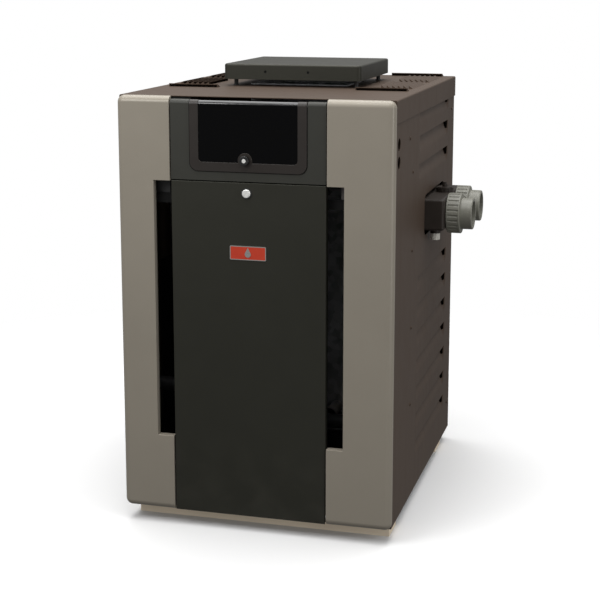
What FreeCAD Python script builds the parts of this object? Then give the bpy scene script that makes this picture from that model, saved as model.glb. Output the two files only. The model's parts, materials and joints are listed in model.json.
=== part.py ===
"""Gas pool heater: painted sheet-metal cabinet, finned-tube exchanger, burner tray, lidded controls.

Millimetres.  X runs across the cabinet, to the water unions.  Y runs from the front door to the back.
Z is up from the floor.  Everything is drawn with X = 0 on the cabinet's centreline, Y = 0 on the front
face of the corner posts and Z = 0 on the floor.  At export one move puts the origin under the middle
of the whole heater's bounding box.
"""
import FreeCAD, Part
import math
import os

V = FreeCAD.Vector

# ---------------------------------------------------------------- cabinet
CAB_W = 500.0            # over the corner posts
CAB_D = 625.0            # front posts to the top panel's back skirt
CAB_H = 756.0            # posts, without the rails
RAIL_H = 28.0            # base rail under the cabinet
RAIL_D = 58.0
RAIL_T = 2.0
RAIL_IN = 12.0           # rail ends from the cabinet's sides
RAIL_FRONT_Y = 48.0
RAIL_REAR_Y = 519.0
PAN_LIP = 20.0           # height of the base pan's rim
SKIN = 1.5               # painted cabinet sheet
LINER = 1.2              # inner sheet metal
GAP = 0.3                # air between sheets that lap but do not touch

# ---------------------------------------------------------------- front
BAY_X = -9.5             # the door bay sits left of the cabinet's centreline
BAY_W = 284.0            # between the posts
DOOR_GAP = 2.0           # reveal round the door and the fascia
POST_D = 14.0            # depth of a corner post
POST_T = 1.6             # wall of a corner post
POST_ROUND = 12.0        # soft edge of a post
SLOT_W = 30.5            # air slot beside the door
SLOT_LOW = 169.0
SLOT_HIGH = 636.0
FACE_Y = 2.0             # door and fascia faces sit this far behind the posts
DOOR_TOP = 637.0
DOOR_FLANGE = 16.0       # depth of the door's folded edge
PAN_Y = 26.0             # front edge of the base pan, behind the door
HOOK_R = 2.5             # shoulder pin that the door hangs on
HOOK_BACK = 5.5          # hook pin behind the door's face
HOOK_UP = 12.0           # hook pin above the door's lower edge
HOOK_ARM = 3.4           # half height of the hook's arm
HOOK_T = 2.0
HOOK_POST_Y0 = 30.0
HOOK_POST_Y1 = 44.0
STIFFENER_X = 85.0       # ribs from the middle of the door
STIFFENER_D = 8.0
PIN_CLEAR = 0.05         # radial running clearance of pins and shafts

# ---------------------------------------------------------------- control window
LID_X0 = -114.0
LID_X1 = 97.0
LID_LOW = 655.5
LID_T = 4.0
LID_BAND = 16.0          # bezel round the lens
LID_CORNER = 15.0
LENS_T = 2.5
LENS_CORNER = 7.0
CURL_R = 8.0             # round top edge of the lid, about its hinge pins
CURL_DROP = 13.0         # hinge pins below the top of the cabinet
LID_PIN_R = 2.0
LATCH_X = -13.0
LATCH_UP = 20.5          # latch above the lid's lower edge
LATCH_R = 8.5
LATCH_BOSS_R = 13.0
LATCH_PROUD = 7.0
LATCH_GRIPS = 16
LATCH_SHAFT_R = 4.0
STUD_DROP = 18.5         # door stud below the door's top edge
STUD_X = -11.0
STUD_HEAD_R = 7.5
STUD_PROUD = 3.5
STUD_R = 5.0
STUD_CUP_R = 9.5
CROSS_H = 18.0           # height of the rail behind the door's top
CROSS_BACK = 62.0
CROSS_LIP_DROP = 6.5     # rail's lip below the stud
BADGE_X0 = -42.0
BADGE_X1 = 24.0
BADGE_LOW = 501.0
BADGE_HIGH = 526.0
BADGE_T = 1.2
DROP_R = 5.5             # raised drop on the badge

# ---------------------------------------------------------------- controls
TRAY_LOW = 662.0
TRAY_HIGH = 768.0
TRAY_BACK = 90.0
KEYPAD_Y = 38.0
KEYPAD_T = 2.0
BUTTON_W = 22.0
BUTTON_H = 13.0
BUTTON_PITCH = 34.0
BUTTON_Z = 690.0
BUTTON_PROUD = 2.5
BUTTON_TRAVEL = 1.2
BUTTON_CLEAR = 0.15
BOARD_Y = 50.0
BOARD_T = 1.6
DISPLAY = (-58.0, 41.0, 712.0, 758.0)   # X and Z limits
DISPLAY_RIM = 4.2
WIRE_X = -80.0           # where the harness leaves the tray
WIRE_Y = 76.0

# ---------------------------------------------------------------- sides, back and top
LOUVRE_PITCH = 52.8
LOUVRE_H = 32.0
LOUVRE_Y0 = 235.0
LOUVRE_Y1 = 548.0
LOUVRE_LOW = 88.4        # lower edge of the lowest louvre
LOUVRE_ROWS = 13
LOUVRE_IN = 10.0         # depth at the open upper edge
LOUVRE_LIP = 12.0        # sloping lower band
LOUVRE_LIP_IN = 3.5
LOUVRE_CORNER = 15.0
LOUVRE_LANCE = 17.0      # open height of the torn rear end
BLANK_ROWS = (7, 8, 9)   # rows left plain round the water header, counted from the lowest as 0
SKIRT = 40.0             # side skirt of the top panel
HOOD_RISE = 4.5
HOOD_W = 8.5
HOOD_PITCH = 10.4
HOODS = 6
HOOD_OUT = 229.0         # outer edge of the hood banks
HOOD_BANKS = ((265.0, 383.0), (434.0, 545.0))
CROSS_HOOD_W = 14.0
CROSS_HOODS = ((210.0, 132.0, 229.0), (605.0, 118.0, 225.0))
CONDUIT_R = 11.1         # 7/8 inch trade knockout
CONDUIT_Y = 46.5
CONDUIT_Z = (706.5, 675.2)
SCREW_R = 3.6
SCREW_PROUD = 1.6
SIDE_SCREWS = ((175.0, 209.0), (175.0, 355.0), (175.0, 499.0), (175.0, 643.0), (143.0, 706.5), (590.0, 90.0),
               (590.0, 720.0))
BACK_SCREW_Z = (80.0, 250.0, 420.0, 590.0, 725.0)
BACK_SCREW_IN = 17.0
BACK_SLOTS = 6
BACK_SLOT_LOW = 110.0
BACK_SLOT_H = 16.0
BACK_SLOT_X = 150.0
BACK_BLADE_IN = 8.0      # depth of a blade behind its slot

# ---------------------------------------------------------------- vent
CAP_W = 266.0
CAP_Y0 = 250.0
CAP_D = 252.0
CAP_H = 29.0
CAP_GAP = 13.0           # open height under the cap
CAP_LEG_R = 4.0
CAP_LEG_X = 118.0
CAP_LEG_IN = 30.0        # legs from the cap's front and back faces
CAP_SCREWS = (-51.0, 32.0)
CAP_SCREW_R = 2.5
CAP_SCREW_L = 7.0
CAP_SCREW_SUNK = 0.6
FLUE_W = 190.0
FLUE_D = 152.0
HOPPER_TOP = 700.0       # where the flue hopper turns into the straight outlet

# ---------------------------------------------------------------- exchanger
TUBE_Z = 542.0
TUBE_PITCH = 32.0
TUBES = 6
TUBE_R = 9.5
TUBE_BORE = 8.2
FIN_R = 14.5
FIN_STEP = 12.0
FIN_T = 1.0
BANK_Y = 401.0           # middle of the tube bank, chamber and headers
CHAMBER_X = 192.0
CHAMBER_D = 232.0
CHAMBER_LOW = 200.0
CHAMBER_HIGH = 582.0
REFRACTORY_T = 25.0
SHEET_T = 6.0
GASKET_T = 2.0
HEADER_D = 202.0
HEADER_LOW = 514.0
HEADER_HIGH = 574.0
HEADER_WALL = 6.0
HEADER_OUT = 284.0       # outer face of the water header
RETURN_OUT = 240.0
FLANGE_T = 8.0
FLANGE_LAP = 14.0
BOLT_IN = 6.0            # header bolts from the flange's edge
BOLT_R = 3.2
BOLT_HEAD_R = 6.5
BOLT_HEAD_H = 4.5
TUBE_SEAT = 0.05         # rolled-in tubes clear their holes by this
CUT_CLEAR = 4.0          # side-panel opening round the header
GOVERNOR_X = 267.0
GOVERNOR_Y = 410.0
GOVERNOR_R = 17.0
GOVERNOR_H = 9.5
DRAIN_X = 262.0
DRAIN_Y = 338.0
DRAIN_R = 6.0
DRAIN_KNOB_R = 9.0
DRAIN_KNOB_H = 12.5
DRAIN_BOSS = 10.0        # height of the boss under the header

# ---------------------------------------------------------------- unions
UNION_SPACING = 101.6
UNION_Y0 = 350.0
UNION_BORE = 24.0
THREAD_R = 34.0
THREAD_L = 15.0
NUT_R = 38.5
NUT_L = 26.0
NUT_RIBS = 24
NUT_END = 5.0
PIPE_R = 30.15
SOCKET_R = 24.2
SOCKET_L = 22.0
TAIL_OUT = 333.0
UNION_SEAL = 1.0

# ---------------------------------------------------------------- burners and gas
BURNER_PITCH = 55.0
BURNERS = 6
BURNER_R = 11.0
BURNER_T = 1.2
SHELF_Z = 110.0          # burner tray's shelf
BELL_L = 40.0
PORT_W = 2.5
PORT_STEP = 9.0
BELL_R = 17.0
BURNER_Z = 160.0
BELL_Y = 215.0
MANIFOLD_Y = 190.0
MANIFOLD_R = 13.35
ORIFICE_R = 5.0
GAS_PIPE_R = 13.35       # 3/4 inch pipe
GAS_PIPE_OUT = 290.0
GAS_PIPE_END = 36.0      # full-size end that a fitting goes over
GAS_PIPE_RUN_R = 13.1    # radius of the rest of the pipe
GAS_PIPE_T = 2.9
GAS_Y = 120.0
GAS_Z = 230.0
VALVE_X = -30.0
VALVE_W = 90.0
VALVE_UP = 24.0          # half height of the valve body
VALVE_KNOB_R = 16.0
VALVE_SHAFT_R = 4.0
TOWER_X = 24.0           # terminal tower from the valve's middle
TOWER_Y = 30.0

# ---------------------------------------------------------------- worked out from the sizes above
FLOOR = RAIL_H
TOP = RAIL_H + CAB_H
HALF = CAB_W / 2
BAY0 = BAY_X - BAY_W / 2
BAY1 = BAY_X + BAY_W / 2
DOOR0 = BAY0 + DOOR_GAP
DOOR1 = BAY1 - DOOR_GAP
DOOR_LOW = FLOOR + SKIN
FASCIA_LOW = DOOR_TOP + DOOR_GAP
SIDE_OUT = HALF - SKIN - GAP - 0.2      # outer face of a side panel, just inside the top skirt
SIDE_IN = SIDE_OUT - SKIN
BACK_OUT = CAB_D - SKIN - GAP
PAN_TOP = FLOOR + SKIN
LID_PIN_Y = CURL_R
LID_PIN_Z = TOP - CURL_DROP
LENS_X0 = LID_X0 + LID_BAND
LENS_X1 = LID_X1 - LID_BAND
LENS_LOW = LID_LOW + LID_BAND
LATCH_Z = LID_LOW + LATCH_UP
HOOK_Y = FACE_Y + HOOK_BACK
HOOK_Z = DOOR_LOW + HOOK_UP
STUD_Z = DOOR_TOP - STUD_DROP
CROSS_Y = FACE_Y + DOOR_FLANGE + 0.7
CROSS_LIP = STUD_Z - CROSS_LIP_DROP
CROSS_LOW = CROSS_LIP - CROSS_H
WINDOW0 = LID_X0 - DOOR_GAP * 0.6       # opening in the fascia
WINDOW1 = LID_X1 + DOOR_GAP * 0.6
KEY_X0 = LID_X0 - 0.9
KEY_X1 = LID_X1 + 0.9
BUTTON_XS = [LATCH_X + 4.5 + (index - 1.5) * BUTTON_PITCH for index in range(4)]
CHAMBER_Y0 = BANK_Y - CHAMBER_D / 2
CHAMBER_Y1 = BANK_Y + CHAMBER_D / 2
HEADER_Y0 = BANK_Y - HEADER_D / 2
HEADER_Y1 = BANK_Y + HEADER_D / 2
SHEET_IN = CHAMBER_X + GAP
SHEET_OUT = SHEET_IN + SHEET_T
FACE_X = SHEET_OUT + GASKET_T           # inner face of both headers
KNOB_X = VALVE_X - 8
KNOB_Y = GAS_Y - 8
TOWER_TOP = GAS_Z + VALVE_UP + 18
CAP_Y = CAP_Y0 + CAP_D / 2
CAP_LOW = TOP + CAP_GAP
UNIONS = (UNION_Y0, UNION_Y0 + UNION_SPACING)
NODES = {}


# ---------------------------------------------------------------- shape helpers
def box(x0, x1, y0, y1, z0, z1):
    return Part.makeBox(x1 - x0, y1 - y0, z1 - z0, V(x0, y0, z0))


def rod(axis, start, radius, length):
    return Part.makeCylinder(radius, length, V(*start), V(*AXES[axis]))


def ring(axis, start, outer, inner, length):
    return rod(axis, start, outer, length).cut(rod(axis, start, inner, length))


def joined(shapes):
    whole = shapes[0].multiFuse(shapes[1:]) if len(shapes) > 1 else shapes[0]
    return whole.removeSplitter()


def less(shape, tools):
    return shape.cut(Part.makeCompound(tools)) if tools else shape


def across_x(points, x0, x1):
    """Polygon of (y, z) points, drawn out from x0 to x1."""
    face = Part.Face(Part.makePolygon([V(x0, y, z) for y, z in points + points[:1]]))
    return face.extrude(V(x1 - x0, 0, 0))


def across_y(points, y0, y1):
    """Polygon of (x, z) points, drawn out from y0 to y1."""
    face = Part.Face(Part.makePolygon([V(x, y0, z) for x, z in points + points[:1]]))
    return face.extrude(V(0, y1 - y0, 0))


def across_z(points, z0, z1):
    """Polygon of (x, y) points, drawn out from z0 to z1."""
    face = Part.Face(Part.makePolygon([V(x, y, z0) for x, y in points + points[:1]]))
    return face.extrude(V(0, 0, z1 - z0))


def round_the(centre, radius, count):
    """Evenly spaced points on a circle, as pairs."""
    turns = [2 * math.pi * index / count for index in range(count)]
    return [(centre[0] + radius * math.cos(turn), centre[1] + radius * math.sin(turn)) for turn in turns]


def mirrored(shape):
    return shape.mirror(V(0, 0, 0), V(1, 0, 0))


def edges_where(shape, test):
    return [edge for edge in shape.Edges if test(edge)]


def runs_along(edge, axis):
    bounds = edge.BoundBox
    spans = [bounds.XLength, bounds.YLength, bounds.ZLength]
    return spans[axis] > 1e-3 and max(spans[:axis] + spans[axis + 1:]) < 1e-3


def rounded_box(x0, x1, y0, y1, z0, z1, axis, radius):
    """Box whose four edges along one axis are rounded."""
    shape = box(x0, x1, y0, y1, z0, z1)
    return shape.makeFillet(radius, edges_where(shape, lambda edge: runs_along(edge, axis)))


def tray(x0, x1, y0, y1, z0, z1, wall, open_side):
    """Open sheet-metal box; open_side is one of -x +x -y +y -z +z."""
    low = [x0 + wall, y0 + wall, z0 + wall]
    high = [x1 - wall, y1 - wall, z1 - wall]
    index = "xyz".index(open_side[1])
    if open_side[0] == "-":
        low[index] = (x0, y0, z0)[index]
    else:
        high[index] = (x1, y1, z1)[index]
    return box(x0, x1, y0, y1, z0, z1).cut(box(low[0], high[0], low[1], high[1], low[2], high[2]))


def rect_wire(y0, y1, z0, z1, radius, x):
    """Round-cornered rectangle in a plane of constant X."""
    k = radius * (1 - math.sqrt(0.5))
    corners = ((y0, z0, 1, 1), (y1, z0, -1, 1), (y1, z1, -1, -1), (y0, z1, 1, -1))
    ends = []
    for index, (y, z, sy, sz) in enumerate(corners):
        first = V(x, y, z + sz * radius)
        second = V(x, y + sy * radius, z)
        if index % 2:
            first, second = second, first
        ends.append((first, V(x, y + sy * k, z + sz * k), second))
    edges = []
    for index, (first, middle, second) in enumerate(ends):
        edges.append(Part.Arc(first, middle, second).toShape())
        edges.append(Part.LineSegment(second, ends[(index + 1) % 4][0]).toShape())
    return Part.Wire(edges)


def bent_pipe(points, radius):
    """Round bar along straight runs joined by tangent arcs, each as large as its runs allow."""
    points = [V(*point) for point in points]
    edges = []
    here = points[0]
    for before, corner, after in zip(points, points[1:], points[2:]):
        back = (before - corner).normalize()
        ahead = (after - corner).normalize()
        shorter = min((before - corner).Length, (after - corner).Length)
        half_turn = (math.pi - back.getAngle(ahead)) / 2
        reach = 0.45 * shorter
        bend = reach / math.tan(half_turn)
        inward = (back + ahead).normalize()
        middle = corner + inward * (bend / math.cos(half_turn) - bend)
        start = corner + back * reach
        end = corner + ahead * reach
        edges.append(Part.LineSegment(here, start).toShape())
        edges.append(Part.Arc(start, middle, end).toShape())
        here = end
    edges.append(Part.LineSegment(here, points[-1]).toShape())
    path = Part.Wire(edges)
    circle = Part.Wire(Part.Circle(points[0], points[1] - points[0], radius).toShape())
    return path.makePipeShell([circle], True, False)


AXES = {"x": (1, 0, 0), "y": (0, 1, 0), "z": (0, 0, 1), "-y": (0, -1, 0), "-x": (-1, 0, 0)}


# ---------------------------------------------------------------- base, sides, back and top
def base_rail(y0):
    """Folded channel, open underneath, with closed ends."""
    half = HALF - RAIL_IN
    return tray(-half, half, y0, y0 + RAIL_D, 0, RAIL_H, RAIL_T, "-z")


def base_pan():
    """Floor of the cabinet; its front edge is folded up less than the rest, under the door hooks."""
    pan = tray(-SIDE_IN + GAP, SIDE_IN - GAP, PAN_Y, BACK_OUT - 2 * SKIN - GAP, FLOOR, FLOOR + PAN_LIP, SKIN,
               "+z")
    return pan.cut(box(-SIDE_IN + 10, SIDE_IN - 10, PAN_Y - 5, PAN_Y + 5, PAN_TOP + 4, FLOOR + PAN_LIP + 5))


def louvre(low):
    """Punch and shell of one louvre pressed into a panel whose outer face is X = SIDE_OUT."""
    high = low + LOUVRE_H
    lean = math.degrees(math.atan2(LOUVRE_IN - LOUVRE_LIP_IN, LOUVRE_H - LOUVRE_LIP))

    def punch(grow, deeper):
        mouth = rect_wire(LOUVRE_Y0 - grow, LOUVRE_Y1 + grow, low - grow, high + 20, LOUVRE_CORNER, SIDE_OUT)
        inset = LOUVRE_LIP - grow
        bed = rect_wire(LOUVRE_Y0 + inset, LOUVRE_Y1 - inset, low + inset, high + 20, LOUVRE_CORNER - 6, 0)
        bed.rotate(V(0, 0, low + LOUVRE_LIP), V(0, 1, 0), -lean)
        bed.translate(V(SIDE_OUT - LOUVRE_LIP_IN - deeper, 0, 0))
        return Part.makeLoft([mouth, bed], True, True)

    above = box(SIDE_OUT - 60, SIDE_OUT + 60, LOUVRE_Y0 - 50, LOUVRE_Y1 + 50, high, high + 100)
    hollow = punch(0, 0).cut(above)
    lance = box(SIDE_OUT - LOUVRE_IN - 5, SIDE_IN - 0.2, LOUVRE_Y1 - LOUVRE_LIP, LOUVRE_Y1 + 5,
                high - LOUVRE_LANCE, high + 5)
    shell = punch(SKIN * 0.8, SKIN * 0.8).cut(above).cut(hollow).cut(lance)
    return hollow, shell


def side_sheet():
    """Right-hand side panel before its openings: front and back edges folded inwards."""
    outline = [
        (SIDE_OUT, POST_D), (SIDE_OUT, BACK_OUT), (HALF - 24, BACK_OUT), (HALF - 24, BACK_OUT - SKIN),
        (SIDE_IN, BACK_OUT - SKIN), (SIDE_IN, POST_D + SKIN), (HALF - 24, POST_D + SKIN), (HALF - 24, POST_D),
    ]
    sheet = across_z(outline, FLOOR, TOP - SKIN - GAP)
    bend = edges_where(sheet, lambda edge: runs_along(edge, 2) and edge.BoundBox.XMax > SIDE_OUT - 0.1
                       and edge.BoundBox.YMax > BACK_OUT - 0.1)
    return sheet.makeFillet(4.0, bend)


def side_panel(header_side):
    """Side sheet with its louvres and openings; the left one is a mirror image with a gas pipe hole."""
    sheet = side_sheet()
    hollows = []
    shells = []
    for row in range(LOUVRE_ROWS):
        if row in BLANK_ROWS:
            continue
        hollow, shell = louvre(LOUVRE_LOW + row * LOUVRE_PITCH)
        hollows.append(hollow)
        shells.append(shell)
    sheet = less(sheet, [hollow.fuse(shell) for hollow, shell in zip(hollows, shells)])
    sheet = sheet.multiFuse(shells)
    holes = [rod("x", (SIDE_IN - 5, CONDUIT_Y, z), CONDUIT_R, 20) for z in CONDUIT_Z]
    if header_side:
        holes.append(rounded_box(SIDE_IN - 5, SIDE_OUT + 5, HEADER_Y0 - CUT_CLEAR, HEADER_Y1 + CUT_CLEAR,
                                 HEADER_LOW - 2.5 * CUT_CLEAR, HEADER_HIGH + 2 * CUT_CLEAR, 0, 14))
    else:
        holes.append(rod("x", (SIDE_IN - 5, GAS_Y, GAS_Z), GAS_PIPE_R + CUT_CLEAR, 20))
    sheet = less(sheet, holes)
    return sheet if header_side else mirrored(sheet)


def rear_panel():
    """Plain back sheet with angled air slots low down."""
    half = HALF - 10
    y1 = BACK_OUT - SKIN
    sheet = box(-half, half, y1 - SKIN, y1, FLOOR + SKIN, TOP - SKIN - GAP)
    slots = []
    blades = []
    for row in range(BACK_SLOTS):
        low = BACK_SLOT_LOW + row * LOUVRE_PITCH
        high = low + BACK_SLOT_H
        blade = [(y1 - SKIN, low), (y1, low), (y1 - BACK_BLADE_IN, high), (y1 - BACK_BLADE_IN - SKIN, high)]
        slots.append(box(-BACK_SLOT_X, BACK_SLOT_X, y1 - 5, y1 + 5, low, high))
        blades.append(across_x(blade, -BACK_SLOT_X, BACK_SLOT_X))
    return joined([less(sheet, slots)] + blades)


def hood(length, width):
    """Raised louvre along +Y at the origin, rising towards +X where it is open."""
    slope = HOOD_RISE / width
    outer = across_y([(0, -SKIN), (0, 0), (width, HOOD_RISE + SKIN), (width, -SKIN)], 0, length)
    reach = width + 2
    inner = across_y([(0, -SKIN), (reach, slope * reach), (reach, -9), (0, -9)], SKIN, length - SKIN)
    return outer.cut(inner)


def hood_hole(length, width):
    return box(1.5, width, SKIN, length - SKIN, -9, 9)


def top_panel():
    """Lid of the cabinet: side skirts, flue opening, and banks of raised louvres."""
    y0 = POST_D + 2
    x1 = HALF - GAP
    outline = [(x1, TOP - SKIRT), (x1, TOP), (-x1, TOP), (-x1, TOP - SKIRT)]
    body = across_y(outline, y0, CAB_D)
    soft = edges_where(body, lambda edge: edge.BoundBox.ZMin > TOP - 0.1 and runs_along(edge, 1))
    body = body.makeFillet(3.0, soft)
    back = edges_where(body, lambda edge: edge.BoundBox.YMin > CAB_D - 0.1 and edge.BoundBox.ZMax > TOP - 8)
    body = body.makeFillet(2.5, [edge for edge in back if not runs_along(edge, 2)])
    inside = box(-x1 + SKIN, x1 - SKIN, y0 - 5, CAB_D - SKIN, TOP - SKIRT - 5, TOP - SKIN)
    body = body.cut(inside)
    flue = rounded_box(-FLUE_W / 2 - 2, FLUE_W / 2 + 2, CAP_Y - FLUE_D / 2 - 2, CAP_Y + FLUE_D / 2 + 2,
                       TOP - 20, TOP + 20, 2, 6)
    holes = [flue]
    hoods = []

    def place(shape, x, y, turn):
        shape = shape.copy()
        shape.rotate(V(0, 0, 0), V(0, 0, 1), turn)
        shape.translate(V(x, y, TOP))
        return shape

    for bank0, bank1 in HOOD_BANKS:
        for index in range(HOODS):
            x = HOOD_OUT - index * HOOD_PITCH
            hoods.append(place(hood(bank1 - bank0, HOOD_W), x, bank1, 180))
            holes.append(place(hood_hole(bank1 - bank0, HOOD_W), x, bank1, 180))
    for y, near, far in CROSS_HOODS:
        hoods.append(place(hood(far - near, CROSS_HOOD_W), near, y + CROSS_HOOD_W, 270))
        holes.append(place(hood_hole(far - near, CROSS_HOOD_W), near, y + CROSS_HOOD_W, 270))
    hoods += [mirrored(shape) for shape in hoods]
    holes += [mirrored(shape) for shape in holes[1:]]
    return less(body, holes).multiFuse(hoods)


def screw_heads():
    """Washer-head screws in the side panels and the back."""
    heads = []
    for y, z in SIDE_SCREWS:
        head = rod("x", (SIDE_OUT, y, z), SCREW_R, SCREW_PROUD)
        heads.append(head.makeChamfer(0.5, edges_where(head, lambda edge: edge.BoundBox.XMin > SIDE_OUT + 1)))
    heads += [mirrored(head) for head in heads]
    for x in (-HALF + BACK_SCREW_IN, HALF - BACK_SCREW_IN):
        for z in BACK_SCREW_Z:
            heads.append(rod("y", (x, BACK_OUT, z), SCREW_R, SCREW_PROUD))
    return heads


NODES["rail_front"] = base_rail(RAIL_FRONT_Y)
NODES["rail_rear"] = base_rail(RAIL_REAR_Y)
NODES["base_pan"] = base_pan()
NODES["side_panel_right"] = side_panel(True)
NODES["side_panel_left"] = side_panel(False)
NODES["rear_panel"] = rear_panel()
NODES["top_panel"] = top_panel()


# ---------------------------------------------------------------- corner posts
def front_post(outer, inner):
    """Soft-edged cover over a front corner, notched beside the door for the air slot.

    outer is the cabinet's side, inner is the edge of the door bay, both in X.
    """
    way = 1 if inner > outer else -1

    def block(inset, back):
        x0, x1 = sorted((outer + way * inset, inner - way * inset))
        edge_x = outer + way * inset
        shape = box(x0, x1, inset, back, FLOOR + inset, TOP - inset)
        corners = edges_where(shape, lambda edge: runs_along(edge, 1)
                              and abs(edge.CenterOfMass.x - edge_x) < 0.1)
        shape = shape.makeFillet(POST_ROUND + 0.5 - inset, corners)
        rim = edges_where(shape, lambda edge: edge.BoundBox.YMax < inset + 0.1
                          and not (runs_along(edge, 2) and abs(edge.CenterOfMass.x - edge_x) > 1))
        shape = shape.makeFillet(POST_ROUND - inset, rim)
        n0, n1 = sorted((inner + way * 5, inner - way * (SLOT_W + inset)))
        return shape.cut(box(n0, n1, -5, back + 5, SLOT_LOW - inset, SLOT_HIGH + inset))

    return block(0, POST_D).cut(block(POST_T, POST_D + 1))


NODES["front_post_right"] = front_post(HALF, BAY1)
NODES["front_post_left"] = front_post(-HALF, BAY0)


# ---------------------------------------------------------------- fascia and lidded window
def fascia():
    """Folded surround of the control window, curled over at the top."""
    blocks = []
    for x0, x1 in ((DOOR0, WINDOW0), (WINDOW1, DOOR1)):
        block = box(x0, x1, FACE_Y, POST_D, FASCIA_LOW, LID_PIN_Z + CURL_R)
        top_edge = edges_where(block, lambda edge: runs_along(edge, 0) and edge.BoundBox.YMax < FACE_Y + 0.1
                               and edge.BoundBox.ZMin > LID_PIN_Z)
        block = block.makeFillet(CURL_R - 1, top_edge)
        core = box(x0 + SKIN, x1 - SKIN, FACE_Y + SKIN, POST_D + 5, FASCIA_LOW + SKIN,
                   LID_PIN_Z + CURL_R - SKIN)
        core_edge = edges_where(core, lambda edge: runs_along(edge, 0)
                                and edge.BoundBox.YMax < FACE_Y + SKIN + 0.1
                                and edge.BoundBox.ZMin > LID_PIN_Z)
        blocks.append(block.cut(core.makeFillet(CURL_R - 1 - SKIN, core_edge)))
    sill_top = LID_LOW - DOOR_GAP * 0.6
    sill = tray(WINDOW0 - SKIN, WINDOW1 + SKIN, FACE_Y, POST_D, FASCIA_LOW, sill_top, SKIN, "+y")
    corners = []
    for edge, inner in ((WINDOW0, LID_X0 + LID_CORNER), (WINDOW1, LID_X1 - LID_CORNER)):
        x0, x1 = sorted((edge, inner))
        corner = box(x0, x1, FACE_Y, FACE_Y + SKIN, sill_top, LID_LOW + LID_CORNER)
        bend = rod("y", (inner, 0, LID_LOW + LID_CORNER), LID_CORNER + DOOR_GAP * 0.6, 10)
        corners.append(corner.cut(bend))
    stop = across_x([(LID_T + GAP + SKIN, sill_top - SKIN), (LID_T + GAP, sill_top - SKIN),
                     (LID_T + GAP, LID_LOW + 9), (LID_T + GAP + SKIN, LID_LOW + 9)], LID_X0, LID_X1)
    pins = [rod("x", (WINDOW0 - 3, LID_PIN_Y, LID_PIN_Z), LID_PIN_R, 6),
            rod("x", (WINDOW1 - 3, LID_PIN_Y, LID_PIN_Z), LID_PIN_R, 6)]
    return less(joined(blocks + [sill, stop] + corners), pins)


def lid_profile(inset):
    """Side view of the lid: a flat plate that ends in a round edge about the hinge pins."""
    radius = CURL_R - inset
    plate = box(LID_X0, LID_X1, inset, LID_T, LID_LOW, LID_PIN_Z)
    return plate.fuse(rod("x", (LID_X0, LID_PIN_Y, LID_PIN_Z), radius, LID_X1 - LID_X0))


def lens_cut(grow):
    """Block that takes the lens out of the lid: round lower corners, open over the top."""
    return rounded_low(LENS_X0 - grow, LENS_X1 + grow, -5, 3 * CURL_R, LENS_LOW - grow, TOP + 20,
                       LENS_CORNER + grow)


def rounded_low(x0, x1, y0, y1, z0, z1, radius):
    """Box whose two lower edges along Y are rounded."""
    block = box(x0, x1, y0, y1, z0, z1)
    return block.makeFillet(radius, edges_where(block, lambda edge: runs_along(edge, 1)
                                                and edge.BoundBox.ZMax < z0 + 0.1))


def latch_boss(radius):
    return rod("y", (LATCH_X, -5, LATCH_Z), radius, 5 + LID_T + 20)


def window_frame():
    """Bezel of the lid with a boss for its latch."""
    outline = rounded_low(LID_X0, LID_X1, -20, 40, LID_LOW, TOP + 20, LID_CORNER)
    lid = lid_profile(0).common(outline)
    lid = lid.cut(lens_cut(0))
    boss = rod("y", (LATCH_X, 0, LATCH_Z), LATCH_BOSS_R, LID_T)
    lid = lid.fuse(boss)
    bores = [rod("x", (LID_X0 - 5, LID_PIN_Y, LID_PIN_Z), LID_PIN_R + PIN_CLEAR, LID_X1 - LID_X0 + 10),
             rod("y", (LATCH_X, -5, LATCH_Z), LATCH_SHAFT_R + PIN_CLEAR, 20)]
    return less(lid, bores).removeSplitter()


def window_lens():
    """Smoked sheet set in the bezel and bent over the lid's round top edge."""
    inset = 0.8
    plate = box(LENS_X0, LENS_X1, inset, inset + LENS_T, LENS_LOW, LID_PIN_Z)
    curl = ring("x", (LENS_X0, LID_PIN_Y, LID_PIN_Z), CURL_R - inset, CURL_R - inset - LENS_T,
                LENS_X1 - LENS_X0)
    upper = box(LENS_X0, LENS_X1, 0, 3 * CURL_R, LID_PIN_Z, LID_PIN_Z + 2 * CURL_R)
    lens = plate.fuse(curl.common(upper))
    return lens.common(lens_cut(0)).cut(latch_boss(LATCH_BOSS_R)).removeSplitter()


def window_latch():
    """Round turn latch; the cam lies level when the lid is free and points down when it is locked."""
    knob = rod("y", (LATCH_X, -LATCH_PROUD, LATCH_Z), LATCH_R, LATCH_PROUD - 0.4)
    knob = knob.makeFillet(1.2, edges_where(knob, lambda edge: edge.BoundBox.YMax < 0.1 - LATCH_PROUD))
    grips = [rod("y", (x, -LATCH_PROUD - 1, z), 0.9, LATCH_PROUD + 2)
             for x, z in round_the((LATCH_X, LATCH_Z), LATCH_R + 0.5, LATCH_GRIPS)]
    slot = box(LATCH_X - 4, LATCH_X + 4, -LATCH_PROUD - 1, 1 - LATCH_PROUD, LATCH_Z - 0.7, LATCH_Z + 0.7)
    knob = less(knob, grips + [slot])
    shaft = rod("y", (LATCH_X, -1, LATCH_Z), LATCH_SHAFT_R, 9.6)
    behind = LID_T + GAP + SKIN + GAP + 0.5
    cam = box(LATCH_X - 20, LATCH_X + 6, behind, LID_T + 4.6, LATCH_Z - 4, LATCH_Z + 4)
    return joined([knob, shaft, cam])


def lid_pins():
    """Two pins through the fascia into the ends of the lid's round edge."""
    length = 12.0
    return Part.makeCompound([
        rod("x", (WINDOW0 - SKIN - 1, LID_PIN_Y, LID_PIN_Z), LID_PIN_R, length),
        rod("x", (WINDOW1 + SKIN + 1 - length, LID_PIN_Y, LID_PIN_Z), LID_PIN_R, length)])


NODES["control_fascia"] = fascia()
NODES["window_frame"] = window_frame()
NODES["window_lens"] = window_lens()
NODES["window_latch"] = window_latch()
NODES["window_hinge_pins"] = lid_pins()


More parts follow.
